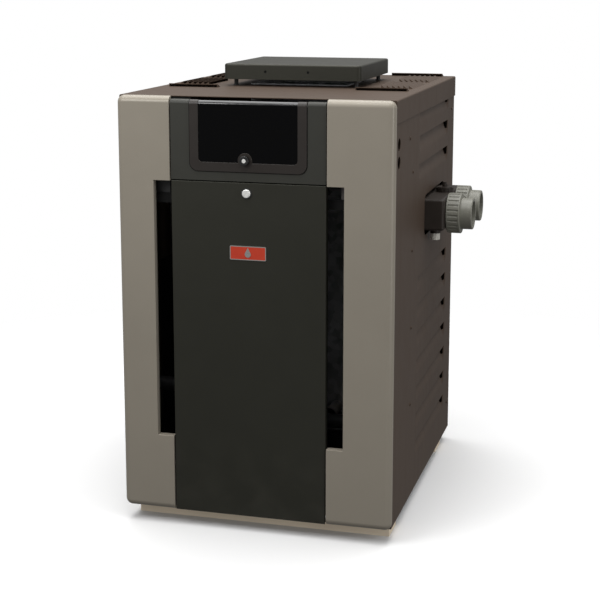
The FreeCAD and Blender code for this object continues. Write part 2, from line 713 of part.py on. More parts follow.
# ---------------------------------------------------------------- door
def door():
    """Tray-shaped door; slots in its side flanges hang over the two hook pins."""
    shell = box(DOOR0, DOOR1, FACE_Y, FACE_Y + DOOR_FLANGE, DOOR_LOW, DOOR_TOP)
    rim = edges_where(shell, lambda edge: edge.BoundBox.YMax < FACE_Y + 0.1)
    shell = shell.makeFillet(1.4, rim)
    shell = shell.cut(box(DOOR0 + SKIN, DOOR1 - SKIN, FACE_Y + SKIN, FACE_Y + 2 * DOOR_FLANGE,
                          DOOR_LOW + SKIN, DOOR_TOP - SKIN))
    tools = []
    for x0, x1 in ((DOOR0 - 1, DOOR0 + 12), (DOOR1 - 12, DOOR1 + 1)):
        tools.append(box(x0, x1, FACE_Y + SKIN, 2 * DOOR_FLANGE, DOOR_LOW - 1, DOOR_LOW + SKIN + 0.01))
        slot = HOOK_R + PIN_CLEAR
        tools.append(rod("x", (x0, HOOK_Y, HOOK_Z), slot, x1 - x0))
        tools.append(box(x0, x1, HOOK_Y - slot, HOOK_Y + slot, DOOR_LOW - 1, HOOK_Z))
    tools.append(rod("y", (STUD_X, -5, STUD_Z), STUD_R + PIN_CLEAR, 20))
    return less(shell, tools)


def door_stiffeners():
    """Two hat-section ribs behind the door's face."""
    y0 = FACE_Y + SKIN
    y1 = y0 + STIFFENER_D
    ribs = []
    for x in (BAY_X - STIFFENER_X, BAY_X + STIFFENER_X):
        outline = [(x - 25, y0), (x - 12, y0), (x - 12, y1), (x + 12, y1), (x + 12, y0), (x + 25, y0),
                   (x + 25, y0 + SKIN), (x + 12 + SKIN, y0 + SKIN), (x + 12 + SKIN, y1 + SKIN),
                   (x - 12 - SKIN, y1 + SKIN), (x - 12 - SKIN, y0 + SKIN), (x - 25, y0 + SKIN)]
        ribs.append(across_z(outline, DOOR_LOW + 40, DOOR_TOP - 60))
    return Part.makeCompound(ribs)


def door_stud():
    """Quarter-turn fastener: slotted head, shaft and a cam that swings down behind the cross rail's lip."""
    front = FACE_Y - STUD_PROUD
    head = rod("y", (STUD_X, front, STUD_Z), STUD_HEAD_R, 2.5)
    head = head.makeFillet(1.0, edges_where(head, lambda edge: edge.BoundBox.YMax < front + 0.1))
    slot = box(STUD_X - 9, STUD_X + 9, front - 1, front + 1.1, STUD_Z - 0.9, STUD_Z + 0.9)
    slot.rotate(V(STUD_X, 0, STUD_Z), V(0, 1, 0), -38)
    behind = CROSS_Y + SKIN + GAP
    shaft = rod("y", (STUD_X, FACE_Y - 1.2, STUD_Z), STUD_R, behind + 2.7 - FACE_Y + 1.2)
    cam = box(STUD_X - 15, STUD_X + 7, behind, behind + 2.5, STUD_Z - 4, STUD_Z + 4)
    return joined([head.cut(slot), shaft, cam])


def badge():
    """Plain plate with a raised drop shape."""
    plate = rounded_box(BADGE_X0, BADGE_X1, FACE_Y - BADGE_T, FACE_Y, BADGE_LOW, BADGE_HIGH, 1, 2.0)
    x = (BADGE_X0 + BADGE_X1) / 2
    z = (BADGE_LOW + BADGE_HIGH) / 2 - 2
    front = FACE_Y - BADGE_T - 0.6
    drop = rod("y", (x, front, z), DROP_R, 1.0)
    tip = across_y([(x - DROP_R + 0.4, z + 2), (x + DROP_R - 0.4, z + 2), (x, z + 12)], front, front + 1.0)
    return joined([plate, drop, tip])


NODES["door"] = door()
NODES["door_stiffeners"] = door_stiffeners()
NODES["door_stud"] = door_stud()
NODES["door_stud_cup"] = ring("y", (STUD_X, FACE_Y - 1.0, STUD_Z), STUD_CUP_R, STUD_R + PIN_CLEAR, 1.0)
NODES["badge_plate"] = badge()


def cross_rail():
    """Rail behind the top of the door, from one side panel to the other, with a catch lip for the stud."""
    end = HALF - 26
    back_lip = CROSS_LIP - 8
    outline = [(CROSS_Y, CROSS_LIP), (CROSS_Y, CROSS_LOW), (CROSS_BACK, CROSS_LOW), (CROSS_BACK, back_lip),
               (CROSS_BACK - SKIN, back_lip), (CROSS_BACK - SKIN, CROSS_LOW + SKIN),
               (CROSS_Y + SKIN, CROSS_LOW + SKIN), (CROSS_Y + SKIN, CROSS_LIP)]
    rail = across_x(outline, -SIDE_IN + GAP, SIDE_IN - GAP)
    tabs = [box(-SIDE_IN + GAP, -end, POST_D + SKIN, CROSS_Y + 0.5, CROSS_LOW, CROSS_LIP),
            box(end, SIDE_IN - GAP, POST_D + SKIN, CROSS_Y + 0.5, CROSS_LOW, CROSS_LIP)]
    return joined([rail] + tabs)


def door_hooks():
    """Two brackets on the base pan, each with a shoulder pin that the door hangs on."""
    hooks = []
    for edge, way in ((DOOR0, 1), (DOOR1, -1)):
        near = edge + way * (SKIN + 1.0)
        x0, x1 = sorted((near, near + way * HOOK_T))
        arm = box(x0, x1, HOOK_Y, HOOK_POST_Y1, HOOK_Z - HOOK_ARM, HOOK_Z + HOOK_ARM)
        eye = rod("x", (x0, HOOK_Y, HOOK_Z), HOOK_ARM, HOOK_T)
        post = box(x0, x1, HOOK_POST_Y0, HOOK_POST_Y1, PAN_TOP, HOOK_Z + HOOK_ARM)
        foot0, foot1 = sorted((near, near + way * 20))
        foot = box(foot0, foot1, HOOK_POST_Y0, HOOK_POST_Y1, PAN_TOP, PAN_TOP + HOOK_T)
        pin0, pin1 = sorted((near + way * 1.0, edge - way * 1.0))
        pin = rod("x", (pin0, HOOK_Y, HOOK_Z), HOOK_R, pin1 - pin0)
        hooks.append(joined([arm, eye, post, foot, pin]))
    return Part.makeCompound(hooks)


NODES["cross_rail"] = cross_rail()
NODES["door_hooks"] = door_hooks()


# ---------------------------------------------------------------- controls behind the window
def control_tray():
    """Box behind the window, with a front flange that ties the fascia to both posts."""
    x0 = WINDOW0
    x1 = WINDOW1
    body = tray(x0 - LINER, x1 + LINER, POST_D + LINER, TRAY_BACK + LINER, TRAY_LOW - LINER,
                TRAY_HIGH + LINER, LINER, "-y")
    body = body.cut(box(x0 - 9, x1 + 9, 0, 2 * CURL_R + 1, TRAY_HIGH - 0.1, TRAY_HIGH + 9))
    flange = box(BAY0 - 30, BAY1 + 30, POST_D, POST_D + LINER, SLOT_HIGH + 8, TOP - 3)
    flange = flange.cut(box(x0, x1, 0, 40, TRAY_LOW, TOP + 5))
    grommet = rod("z", (WIRE_X, WIRE_Y, TRAY_LOW - 9), 6.0, 20)
    tube = ring("z", (WIRE_X, WIRE_Y, TRAY_LOW - LINER - 3), 6.0, 3.4, LINER + 5)
    return body.fuse(flange).cut(grommet).multiFuse([tube] + standoffs()).removeSplitter()


def keypad():
    """Plate behind the window with openings for four keys and the display."""
    plate = box(KEY_X0, KEY_X1, KEYPAD_Y, KEYPAD_Y + KEYPAD_T, TRAY_LOW + GAP, TRAY_HIGH - GAP)
    holes = [rounded_box(x - w, x + w, 0, 60, BUTTON_Z - h, BUTTON_Z + h, 1, 2.0)
             for x in BUTTON_XS for w, h in [(BUTTON_W / 2 + BUTTON_CLEAR, BUTTON_H / 2 + BUTTON_CLEAR)]]
    rim = DISPLAY_RIM - 0.2
    x0, x1, z0, z1 = DISPLAY
    holes.append(rounded_box(x0 + rim, x1 - rim, 0, 60, z0 + rim, z1 - rim, 1, 2.0))
    return less(plate, holes)


def button(x):
    """Key cap with a collar that keeps it behind the plate, and a stem over its switch."""
    w = BUTTON_W / 2
    h = BUTTON_H / 2
    y1 = KEYPAD_Y + KEYPAD_T + 0.2
    cap = rounded_box(x - w, x + w, KEYPAD_Y - BUTTON_PROUD, y1 + 1, BUTTON_Z - h, BUTTON_Z + h, 1, 1.9)
    face = edges_where(cap, lambda edge: edge.BoundBox.YMax < KEYPAD_Y - BUTTON_PROUD + 0.1)
    cap = cap.makeFillet(0.6, face)
    collar = box(x - w - 1.5, x + w + 1.5, y1, y1 + 1, BUTTON_Z - h - 1.5, BUTTON_Z + h + 1.5)
    stem = rod("y", (x, y1, BUTTON_Z), 2.5, 4.0)
    return joined([cap, collar, stem])


def circuit_board():
    """Board with its switches, relays, terminals and capacitors."""
    y = BOARD_Y
    parts = [box(KEY_X0 + 6, KEY_X1 - 6, y, y + BOARD_T, TRAY_LOW + 8, TRAY_HIGH - 8)]
    for x in BUTTON_XS:
        parts.append(box(x - 3, x + 3, y - 4.0, y, BUTTON_Z - 3, BUTTON_Z + 3))
    for index in range(4):
        x = KEY_X0 + 22 + index * 24
        parts.append(box(x, x + 16, y + BOARD_T, y + BOARD_T + 15, TRAY_HIGH - 34, TRAY_HIGH - 14))
    for index in range(5):
        x = KEY_X0 + 18 + index * 30
        parts.append(box(x, x + 24, y + BOARD_T, y + BOARD_T + 11, TRAY_LOW + 12, TRAY_LOW + 22))
    for x in (KEY_X1 - 60, KEY_X1 - 42):
        parts.append(rod("y", (x, y + BOARD_T, 720), 6.0, 18))
    parts.append(box(-30, 0, y + BOARD_T, y + BOARD_T + 3, 700, 730))
    return joined(parts)


def display_module():
    """Display block on the board; its window fills the plate's opening."""
    x0, x1, z0, z1 = DISPLAY
    y0 = KEYPAD_Y + KEYPAD_T
    body = box(x0, x1, y0, BOARD_Y, z0, z1)
    rim = DISPLAY_RIM
    window = rounded_box(x0 + rim, x1 - rim, y0 - 1.2, y0 + 1, z0 + rim, z1 - rim, 1, 2.0)
    return joined([body, window])


def standoffs():
    """Posts that carry the circuit board off the tray's back wall."""
    posts = []
    for x in (KEY_X0 + 11, KEY_X1 - 11):
        for z in (TRAY_LOW + 28, TRAY_HIGH - 11):
            posts.append(rod("y", (x, BOARD_Y + BOARD_T, z), 3.5, TRAY_BACK - BOARD_Y - BOARD_T + 1))
    return posts


NODES["control_tray"] = control_tray()
NODES["keypad_plate"] = keypad()
for label, button_x in zip(("mode", "down", "up", "set"), BUTTON_XS):
    NODES["button_" + label] = button(button_x)
NODES["circuit_board"] = circuit_board()
NODES["display_module"] = display_module()


# ---------------------------------------------------------------- vent
def vent_cap():
    """Shallow lid over the flue, open underneath."""
    half = CAP_W / 2
    y1 = CAP_Y0 + CAP_D
    top = CAP_LOW + CAP_H
    cap = rounded_box(-half, half, CAP_Y0, y1, CAP_LOW, top, 2, 8.0)
    cap = cap.makeFillet(3.5, edges_where(cap, lambda edge: edge.BoundBox.ZMin > top - 0.1))
    core = rounded_box(-half + SKIN, half - SKIN, CAP_Y0 + SKIN, y1 - SKIN, CAP_LOW - 5, top - SKIN, 2,
                       8.0 - SKIN)
    core = core.makeFillet(2.0, edges_where(core, lambda edge: edge.BoundBox.ZMin > top - SKIN - 0.1))
    holes = [rod("y", (x, CAP_Y0 - 5, CAP_LOW + CAP_H / 2), CAP_SCREW_R, CAP_D + 10) for x in CAP_SCREWS]
    return less(cap.cut(core), holes)


def vent_cap_frame():
    """Front and back straps inside the cap, each standing on two legs."""
    frames = []
    half = CAP_W / 2 - 10
    for wall, way in ((CAP_Y0 + SKIN, 1), (CAP_Y0 + CAP_D - SKIN, -1)):
        leg_y = wall + way * (CAP_LEG_IN - SKIN)
        y0, y1 = sorted((wall, wall + way * SKIN))
        strap = [box(-half, half, y0, y1, CAP_LOW + 6, CAP_LOW + CAP_H - 6)]
        y0, y1 = sorted((wall, leg_y + way * 7))
        strap.append(box(-half, half, y0, y1, CAP_LOW + 6, CAP_LOW + 6 + SKIN))
        for x in (-CAP_LEG_X, CAP_LEG_X):
            strap.append(rod("z", (x, leg_y, TOP), CAP_LEG_R, CAP_GAP + 8))
            strap.append(rod("z", (x, leg_y, TOP), CAP_LEG_R + 1.5, 1.5))
        holes = [rod("y", (x, wall - 5, CAP_LOW + CAP_H / 2), CAP_SCREW_R, 10) for x in CAP_SCREWS]
        frames.append(less(joined(strap), holes))
    return Part.makeCompound(frames)


def vent_cap_screws():
    """Countersunk-in screws seen as small dark recesses in the cap's front and back."""
    screws = []
    z = CAP_LOW + CAP_H / 2
    for x in CAP_SCREWS:
        for start in (CAP_Y0 + CAP_SCREW_SUNK, CAP_Y0 + CAP_D - CAP_SCREW_SUNK - CAP_SCREW_L):
            screws.append(rod("y", (x, start, z), CAP_SCREW_R, CAP_SCREW_L))
    return screws


def flue_section(z0, half_x0, y0, y1, z1, half_x1, y2, y3, wall):
    """Hollow tapered duct between two rectangles."""
    def wire(half, near, far, z, inset):
        half -= inset
        near += inset
        far -= inset
        return Part.makePolygon([V(-half, near, z), V(half, near, z), V(half, far, z), V(-half, far, z),
                                 V(-half, near, z)])
    outer = Part.makeLoft([wire(half_x0, y0, y1, z0, 0), wire(half_x1, y2, y3, z1, 0)], True, True)
    inner = Part.makeLoft([wire(half_x0, y0, y1, z0, wall), wire(half_x1, y2, y3, z1, wall)], True, True)
    return outer.cut(inner)


def flue_collector():
    """Hopper over the exchanger that narrows to the outlet under the vent cap."""
    near = CAP_Y - FLUE_D / 2
    far = CAP_Y + FLUE_D / 2
    hopper = flue_section(CHAMBER_HIGH, CHAMBER_X, CHAMBER_Y0, CHAMBER_Y1, HOPPER_TOP, FLUE_W / 2, near, far,
                          LINER)
    stack = flue_section(HOPPER_TOP, FLUE_W / 2, near, far, TOP + 2, FLUE_W / 2, near, far, LINER)
    return joined([hopper, stack])


NODES["vent_cap"] = vent_cap()
NODES["vent_cap_frame"] = vent_cap_frame()
NODES["cabinet_screws"] = Part.makeCompound(screw_heads() + vent_cap_screws())
NODES["flue_collector"] = flue_collector()


# ---------------------------------------------------------------- chamber and exchanger
def tube_ys():
    return [BANK_Y + (index - (TUBES - 1) / 2) * TUBE_PITCH for index in range(TUBES)]


def chamber_wrap():
    """Sheet-metal sleeve round the refractory, open at the top and bottom, with holes for the tubes."""
    wrap = box(-CHAMBER_X, CHAMBER_X, CHAMBER_Y0, CHAMBER_Y1, CHAMBER_LOW, CHAMBER_HIGH)
    wrap = wrap.cut(box(-CHAMBER_X + LINER, CHAMBER_X - LINER, CHAMBER_Y0 + LINER, CHAMBER_Y1 - LINER,
                        CHAMBER_LOW - 5, CHAMBER_HIGH + 5))
    return less(wrap, [rod("x", (-CHAMBER_X - 5, y, TUBE_Z), TUBE_R + TUBE_SEAT, 2 * CHAMBER_X + 10)
                       for y in tube_ys()])


def refractory():
    """Four insulating slabs round the flame, below the tube bank."""
    x1 = CHAMBER_X - LINER
    y0 = CHAMBER_Y0 + LINER
    y1 = CHAMBER_Y1 - LINER
    high = TUBE_Z - FIN_R - 8
    low = CHAMBER_LOW
    t = REFRACTORY_T
    seam = t + GAP
    return Part.makeCompound([
        box(-x1, x1, y0, y0 + t, low, high), box(-x1, x1, y1 - t, y1, low, high),
        box(-x1, -x1 + t, y0 + seam, y1 - seam, low, high), box(x1 - t, x1, y0 + seam, y1 - seam, low, high)])


def finned_tube(y):
    """Water tube with its fins turned as one outline."""
    reach = CHAMBER_X - LINER - 4
    count = int(2 * reach // FIN_STEP)
    outline = [(-SHEET_OUT, TUBE_BORE), (-SHEET_OUT, TUBE_R)]
    first = -count * FIN_STEP / 2
    for index in range(count + 1):
        x0 = first + index * FIN_STEP - FIN_T / 2
        x1 = x0 + FIN_T
        outline += [(x0, TUBE_R), (x0, FIN_R), (x1, FIN_R), (x1, TUBE_R)]
    outline += [(SHEET_OUT, TUBE_R), (SHEET_OUT, TUBE_BORE)]
    points = [V(x, y, TUBE_Z + r) for x, r in outline]
    face = Part.Face(Part.makePolygon(points + points[:1]))
    return face.revolve(V(0, y, TUBE_Z), V(1, 0, 0), 360)


def tube_sheets():
    """Plates that the tubes are rolled into, one at each end of the chamber."""
    sheets = []
    for x0 in (SHEET_IN, -SHEET_OUT):
        sheet = box(x0, x0 + SHEET_T, HEADER_Y0 - FLANGE_LAP, HEADER_Y1 + FLANGE_LAP, HEADER_LOW - FLANGE_LAP,
                    HEADER_HIGH + FLANGE_LAP)
        holes = [rod("x", (x0 - 1, y, TUBE_Z), TUBE_R + TUBE_SEAT, SHEET_T + 2) for y in tube_ys()]
        sheets.append(less(sheet, holes + bolt_holes(x0 - 1, SHEET_T + 2)))
    return Part.makeCompound(sheets)


def bolt_spots():
    """Bolt centres round a header flange."""
    spots = []
    for z in (HEADER_LOW - FLANGE_LAP + BOLT_IN, HEADER_HIGH + FLANGE_LAP - BOLT_IN):
        for index in range(4):
            spots.append((BANK_Y + (index - 1.5) * HEADER_D / 3.1, z))
    return spots


def bolt_holes(x0, length):
    return [rod("x", (x0, y, z), BOLT_R, length) for y, z in bolt_spots()]


def header_block(x_out, side_wall):
    """Cast box over the tube ends with a bolting flange; drawn for the right-hand side."""
    flange = box(FACE_X, FACE_X + FLANGE_T, HEADER_Y0 - FLANGE_LAP, HEADER_Y1 + FLANGE_LAP,
                 HEADER_LOW - FLANGE_LAP, HEADER_HIGH + FLANGE_LAP)
    body = box(FACE_X, x_out, HEADER_Y0, HEADER_Y1, HEADER_LOW, HEADER_HIGH)
    body = body.makeFillet(5.0, edges_where(body, lambda edge: edge.BoundBox.XMin > FACE_X + 1
                                            or runs_along(edge, 0)))
    hollow = box(FACE_X - 1, x_out - side_wall, HEADER_Y0 + HEADER_WALL, HEADER_Y1 - HEADER_WALL,
                 HEADER_LOW + HEADER_WALL, HEADER_HIGH - HEADER_WALL)
    return joined([less(flange, bolt_holes(FACE_X - 1, FLANGE_T + 2)), body]).cut(hollow)


def water_header():
    """Inlet and outlet box: two threaded necks, a dividing wall and a drain boss."""
    header = header_block(HEADER_OUT, HEADER_WALL)
    bosses = [rod("x", (HEADER_OUT - 1, y, TUBE_Z), THREAD_R, THREAD_L + 1) for y in UNIONS]
    bosses.append(rod("z", (DRAIN_X, DRAIN_Y, HEADER_LOW - DRAIN_BOSS), 10.0, DRAIN_BOSS + 1))
    divider = box(FACE_X, HEADER_OUT - HEADER_WALL, BANK_Y - 5, BANK_Y + 5, HEADER_LOW + 3, HEADER_HIGH - 3)
    bosses.append(divider)
    header = joined([header] + bosses)
    bores = [rod("x", (HEADER_OUT - 20, y, TUBE_Z), UNION_BORE, THREAD_L + 30) for y in UNIONS]
    bores.append(rod("z", (DRAIN_X, DRAIN_Y, HEADER_LOW - 20), DRAIN_R + PIN_CLEAR, 40))
    return less(header, bores)


def gaskets():
    """Flat gaskets between the tube sheets and the headers."""
    rings = []
    for x0 in (SHEET_OUT, -FACE_X):
        sheet = box(x0, x0 + GASKET_T, HEADER_Y0 - FLANGE_LAP, HEADER_Y1 + FLANGE_LAP,
                    HEADER_LOW - FLANGE_LAP, HEADER_HIGH + FLANGE_LAP)
        window = box(x0 - 1, x0 + GASKET_T + 1, HEADER_Y0 + HEADER_WALL, HEADER_Y1 - HEADER_WALL,
                     HEADER_LOW + HEADER_WALL, HEADER_HIGH - HEADER_WALL)
        rings.append(less(sheet, [window] + bolt_holes(x0 - 1, GASKET_T + 2)))
    return rings


def header_bolts():
    """Hexagon-head bolts through both header flanges."""
    bolts = []
    start = SHEET_IN
    end = FACE_X + FLANGE_T
    for y, z in bolt_spots():
        head = across_x(round_the((y, z), BOLT_HEAD_R, 6), end, end + BOLT_HEAD_H)
        bolts.append(head.fuse(rod("x", (start, y, z), BOLT_R, end - start)).removeSplitter())
    return Part.makeCompound(bolts + [mirrored(bolt) for bolt in bolts])


def governor_cap():
    """Screwed cap over the header's internal bypass, with a small sensor well on top."""
    z = HEADER_HIGH
    cap = rod("z", (GOVERNOR_X, GOVERNOR_Y, z), GOVERNOR_R, GOVERNOR_H - 1.5)
    rim = rod("z", (GOVERNOR_X, GOVERNOR_Y, z + GOVERNOR_H - 3.5), GOVERNOR_R - 2, 3.5)
    flats = [rod("z", (x, y, z - 1), 2.2, 8)
             for x, y in round_the((GOVERNOR_X, GOVERNOR_Y), GOVERNOR_R + 1.2, 12)]
    return joined([less(cap, flats), rim])


def sensor_well():
    """Temperature sensor screwed into the cap."""
    low = HEADER_HIGH + GOVERNOR_H
    return joined([rod("z", (GOVERNOR_X, GOVERNOR_Y, low), 5.0, 5),
                   rod("z", (GOVERNOR_X, GOVERNOR_Y, low + 5), 3.4, 4)])


def drain_plug():
    """Hand-turned plug with a ribbed head under the header."""
    top = HEADER_LOW - DRAIN_BOSS - 0.5
    low = top - DRAIN_KNOB_H
    knob = rod("z", (DRAIN_X, DRAIN_Y, low), DRAIN_KNOB_R, DRAIN_KNOB_H)
    knob = knob.makeFillet(1.0, edges_where(knob, lambda edge: edge.BoundBox.ZMax < low + 0.1))
    grooves = [rod("z", (x, y, low - 4), 1.1, DRAIN_KNOB_H + 7.5)
               for x, y in round_the((DRAIN_X, DRAIN_Y), DRAIN_KNOB_R + 0.6, 18)]
    return joined([less(knob, grooves), rod("z", (DRAIN_X, DRAIN_Y, top - 1.5), DRAIN_R, DRAIN_BOSS)])


NODES["chamber_wrap"] = chamber_wrap()
NODES["refractory_panels"] = refractory()
NODES["finned_tubes"] = Part.makeCompound([finned_tube(y) for y in tube_ys()])
NODES["tube_sheets"] = tube_sheets()
NODES["water_header"] = water_header()
NODES["return_header"] = mirrored(header_block(RETURN_OUT, HEADER_WALL))
NODES["header_bolts"] = header_bolts()
NODES["governor_cap"] = Part.makeCompound([governor_cap(), sensor_well()])
NODES["drain_plug"] = drain_plug()


# ---------------------------------------------------------------- unions
def union_nut(y):
    """Ribbed coupling nut over a header neck, with an inward lip round the tailpiece."""
    x0 = HEADER_OUT + 1
    nut = rod("x", (x0, y, TUBE_Z), NUT_R, NUT_L)
    nut = nut.makeFillet(1.5, edges_where(nut, lambda edge: abs(edge.BoundBox.XLength) < 0.01))
    grooves = [rod("x", (x0 + 3, rib_y, rib_z), 3.0, NUT_L - 6)
               for rib_y, rib_z in round_the((y, TUBE_Z), NUT_R + 1.4, NUT_RIBS)]
    inside = [rod("x", (x0 - 1, y, TUBE_Z), THREAD_R + PIN_CLEAR, NUT_L - NUT_END + 1),
              rod("x", (x0, y, TUBE_Z), PIPE_R + GAP, NUT_L + 5)]
    return less(nut, grooves + inside)


def tailpiece(y):
    """Flanged end held by the nut, with a solvent socket for the pool pipe."""
    x0 = HEADER_OUT + THREAD_L + UNION_SEAL
    flange_end = HEADER_OUT + 1 + NUT_L - NUT_END - 0.4
    body = rod("x", (x0, y, TUBE_Z), PIPE_R, TAIL_OUT - x0)
    body = body.makeChamfer(1.2, edges_where(body, lambda edge: edge.BoundBox.XMin > TAIL_OUT - 0.1))
    body = joined([body, rod("x", (x0, y, TUBE_Z), THREAD_R - 0.5, flange_end - x0)])
    return less(body, [rod("x", (x0 - 5, y, TUBE_Z), SOCKET_R - 2.5, 99),
                       rod("x", (TAIL_OUT - SOCKET_L, y, TUBE_Z), SOCKET_R, 99)])


for label, union_y in zip(("front", "rear"), UNIONS):
    NODES["union_nut_" + label] = union_nut(union_y)
    NODES["tailpiece_" + label] = tailpiece(union_y)
union_seals = [ring("x", (HEADER_OUT + THREAD_L, y, TUBE_Z), THREAD_R - 2, UNION_BORE + 1, UNION_SEAL)
               for y in UNIONS]
NODES["water_gaskets"] = Part.makeCompound(gaskets() + union_seals)


# ---------------------------------------------------------------- burners and gas train
def burner_xs():
    return [(index - (BURNERS - 1) / 2) * BURNER_PITCH for index in range(BURNERS)]


def burner_tray():
    """Two side walls on the base pan, a shelf, and front and back walls that hold the burners."""
    x1 = CHAMBER_X
    y0 = CHAMBER_Y0
    y1 = CHAMBER_Y1
    walls = [box(-x1, -x1 + LINER, y0, y1, PAN_TOP, CHAMBER_LOW),
             box(x1 - LINER, x1, y0, y1, PAN_TOP, CHAMBER_LOW),
             box(-x1, x1, y0, y0 + LINER, SHELF_Z, CHAMBER_LOW),
             box(-x1, x1, y1 - LINER, y1, SHELF_Z, CHAMBER_LOW),
             box(-x1, x1, y0, y1, SHELF_Z, SHELF_Z + LINER)]
    return less(joined(walls), [rod("y", (x, y0 - 5, BURNER_Z), BURNER_R, 15) for x in burner_xs()])


def burner(x):
    """Tube burner: bell mouth, throat, and a slotted crown along its top."""
    y1 = CHAMBER_Y1 - LINER
    throat = BELL_Y + BELL_L
    mouth = V(x, BELL_Y, BURNER_Z)
    bell = Part.makeCone(BELL_R, BURNER_R, BELL_L, mouth, V(0, 1, 0))
    core = Part.makeCone(BELL_R - BURNER_T, BURNER_R - BURNER_T, BELL_L, mouth, V(0, 1, 0))
    tube = rod("y", (x, throat, BURNER_Z), BURNER_R, y1 - throat)
    bore = rod("y", (x, throat - 1, BURNER_Z), BURNER_R - BURNER_T, y1 - throat - 1)
    slots = []
    port = CHAMBER_Y0 + REFRACTORY_T + 12
    while port < y1 - 14:
        slots.append(box(x - 7, x + 7, port, port + PORT_W, BURNER_Z + 5, BURNER_Z + BURNER_R + 2))
        port += PORT_STEP
    return less(bell.fuse(tube), [core, bore] + slots).removeSplitter()


def manifold():
    """Gas manifold across the burner mouths, fed from the valve."""
    reach = burner_xs()[-1] + 25
    pipe = ring("x", (-reach, MANIFOLD_Y, BURNER_Z), MANIFOLD_R, MANIFOLD_R - 3, 2 * reach)
    ends = [rod("x", (x, MANIFOLD_Y, BURNER_Z), MANIFOLD_R, 3) for x in (-reach, reach - 3)]
    low = BURNER_Z + MANIFOLD_R - 2
    feed = rod("z", (VALVE_X, MANIFOLD_Y, low), 10.0, GAS_Z - VALVE_UP - low)
    holes = [rod("y", (x, MANIFOLD_Y, BURNER_Z), 3.0, 30) for x in burner_xs()]
    holes.append(rod("z", (VALVE_X, MANIFOLD_Y, BURNER_Z), 7.0, 90))
    return less(joined([pipe] + ends + [feed]), holes)


def orifices():
    """Brass jets that point from the manifold into the burner mouths."""
    spuds = []
    for x in burner_xs():
        y = MANIFOLD_Y + MANIFOLD_R - 1.5
        spud = joined([rod("y", (x, y - 1.5, BURNER_Z), 3.0, 6),
                       rod("y", (x, y + 1.5, BURNER_Z), ORIFICE_R, 7)])
        spuds.append(spud.cut(rod("y", (x, y - 5, BURNER_Z), 1.2, 20)))
    return Part.makeCompound(spuds)


def gas_valve():
    """Combination valve body over the manifold, with its pipe port on the left."""
    half = VALVE_W / 2
    low = GAS_Z - VALVE_UP
    high = GAS_Z + VALVE_UP
    bore_r = GAS_PIPE_RUN_R + PIN_CLEAR
    body = rounded_box(VALVE_X - half, VALVE_X + half, GAS_Y - 35, MANIFOLD_Y + 16, low, high, 2, 5.0)
    port = ring("x", (VALVE_X - half - 16, GAS_Y, GAS_Z), 19.0, bore_r, 18)
    bore = rod("x", (VALVE_X - half - 2, GAS_Y, GAS_Z), bore_r, 12)
    tower = rod("z", (VALVE_X + TOWER_X, GAS_Y + TOWER_Y, high - 2), 13.0, TOWER_TOP - high + 2)
    seat = rod("z", (KNOB_X, KNOB_Y, GAS_Z + 5), VALVE_SHAFT_R + PIN_CLEAR, 40)
    outlet = rod("z", (VALVE_X, MANIFOLD_Y, low - 6), 7.0, 26)
    return less(joined([body, tower, port]), [bore, seat, outlet])


def valve_knob():
    """Fluted gas cock with a pointer slot."""
    x = KNOB_X
    y = KNOB_Y
    z = GAS_Z + VALVE_UP + GAP
    knob = rod("z", (x, y, z), VALVE_KNOB_R, 14)
    knob = knob.makeFillet(1.5, edges_where(knob, lambda edge: edge.BoundBox.ZMin > z + 13.9))
    grooves = [rod("z", (flute_x, flute_y, z + 2), 2.2, 20)
               for flute_x, flute_y in round_the((x, y), VALVE_KNOB_R + 1, 14)]
    mark = box(x - 1, x + 1, y - VALVE_KNOB_R, y - 4, z + 13, z + 20)
    return joined([less(knob, grooves + [mark]), rod("z", (x, y, z - 12), VALVE_SHAFT_R, 13)])


def gas_inlet_pipe():
    """Pipe from the valve out through the left side, full size where a fitting goes over it."""
    x0 = -GAS_PIPE_OUT
    x1 = x0 + GAS_PIPE_END
    x2 = VALVE_X - VALVE_W / 2
    outside = joined([rod("x", (x0, GAS_Y, GAS_Z), GAS_PIPE_R, x1 - x0),
                      rod("x", (x1, GAS_Y, GAS_Z), GAS_PIPE_RUN_R, x2 - x1)])
    return outside.cut(rod("x", (x0 - 1, GAS_Y, GAS_Z), GAS_PIPE_R - GAS_PIPE_T, x2 - x0 + 2))


def pilot():
    """Pilot hood, its bracket and the spark electrode beside the left-hand burner."""
    x = burner_xs()[0] - BURNER_R - 14
    y = CHAMBER_Y0 + REFRACTORY_T + 30
    low = SHELF_Z + LINER
    bracket = box(x - 6, x + 6, y - 6, y + 6, low, BURNER_Z + 4)
    hood = rod("z", (x, y, BURNER_Z + 4), 5.0, 14).cut(rod("z", (x, y, BURNER_Z + 6), 3.5, 20))
    electrode = rod("z", (x, y + 11, low), 3.5, 52)
    tip = rod("z", (x, y + 11, low + 51), 1.0, 18)
    arm = box(x - 3, x + 3, y, y + 12, low + 19, low + 25)
    return joined([bracket, hood, electrode, tip, arm])


NODES["burner_tray"] = burner_tray()
NODES["burner_tubes"] = Part.makeCompound([burner(x) for x in burner_xs()])
NODES["gas_manifold"] = manifold()
NODES["burner_orifices"] = orifices()
NODES["gas_valve"] = gas_valve()
NODES["valve_knob"] = valve_knob()
NODES["gas_inlet_pipe"] = gas_inlet_pipe()
NODES["pilot_burner"] = pilot()


# ---------------------------------------------------------------- electrics outside the tray
def transformer():
    """Laminated core with its coil, on the cross rail."""
    low = CROSS_LOW + SKIN
    core = box(152, 206, 26, 56, low + 6, low + 46)
    coil = rounded_box(160, 198, 23, 59, low + 14, low + 38, 0, 4)
    foot = box(144, 214, 30, 52, low, low + 6)
    return joined([core, coil, foot])


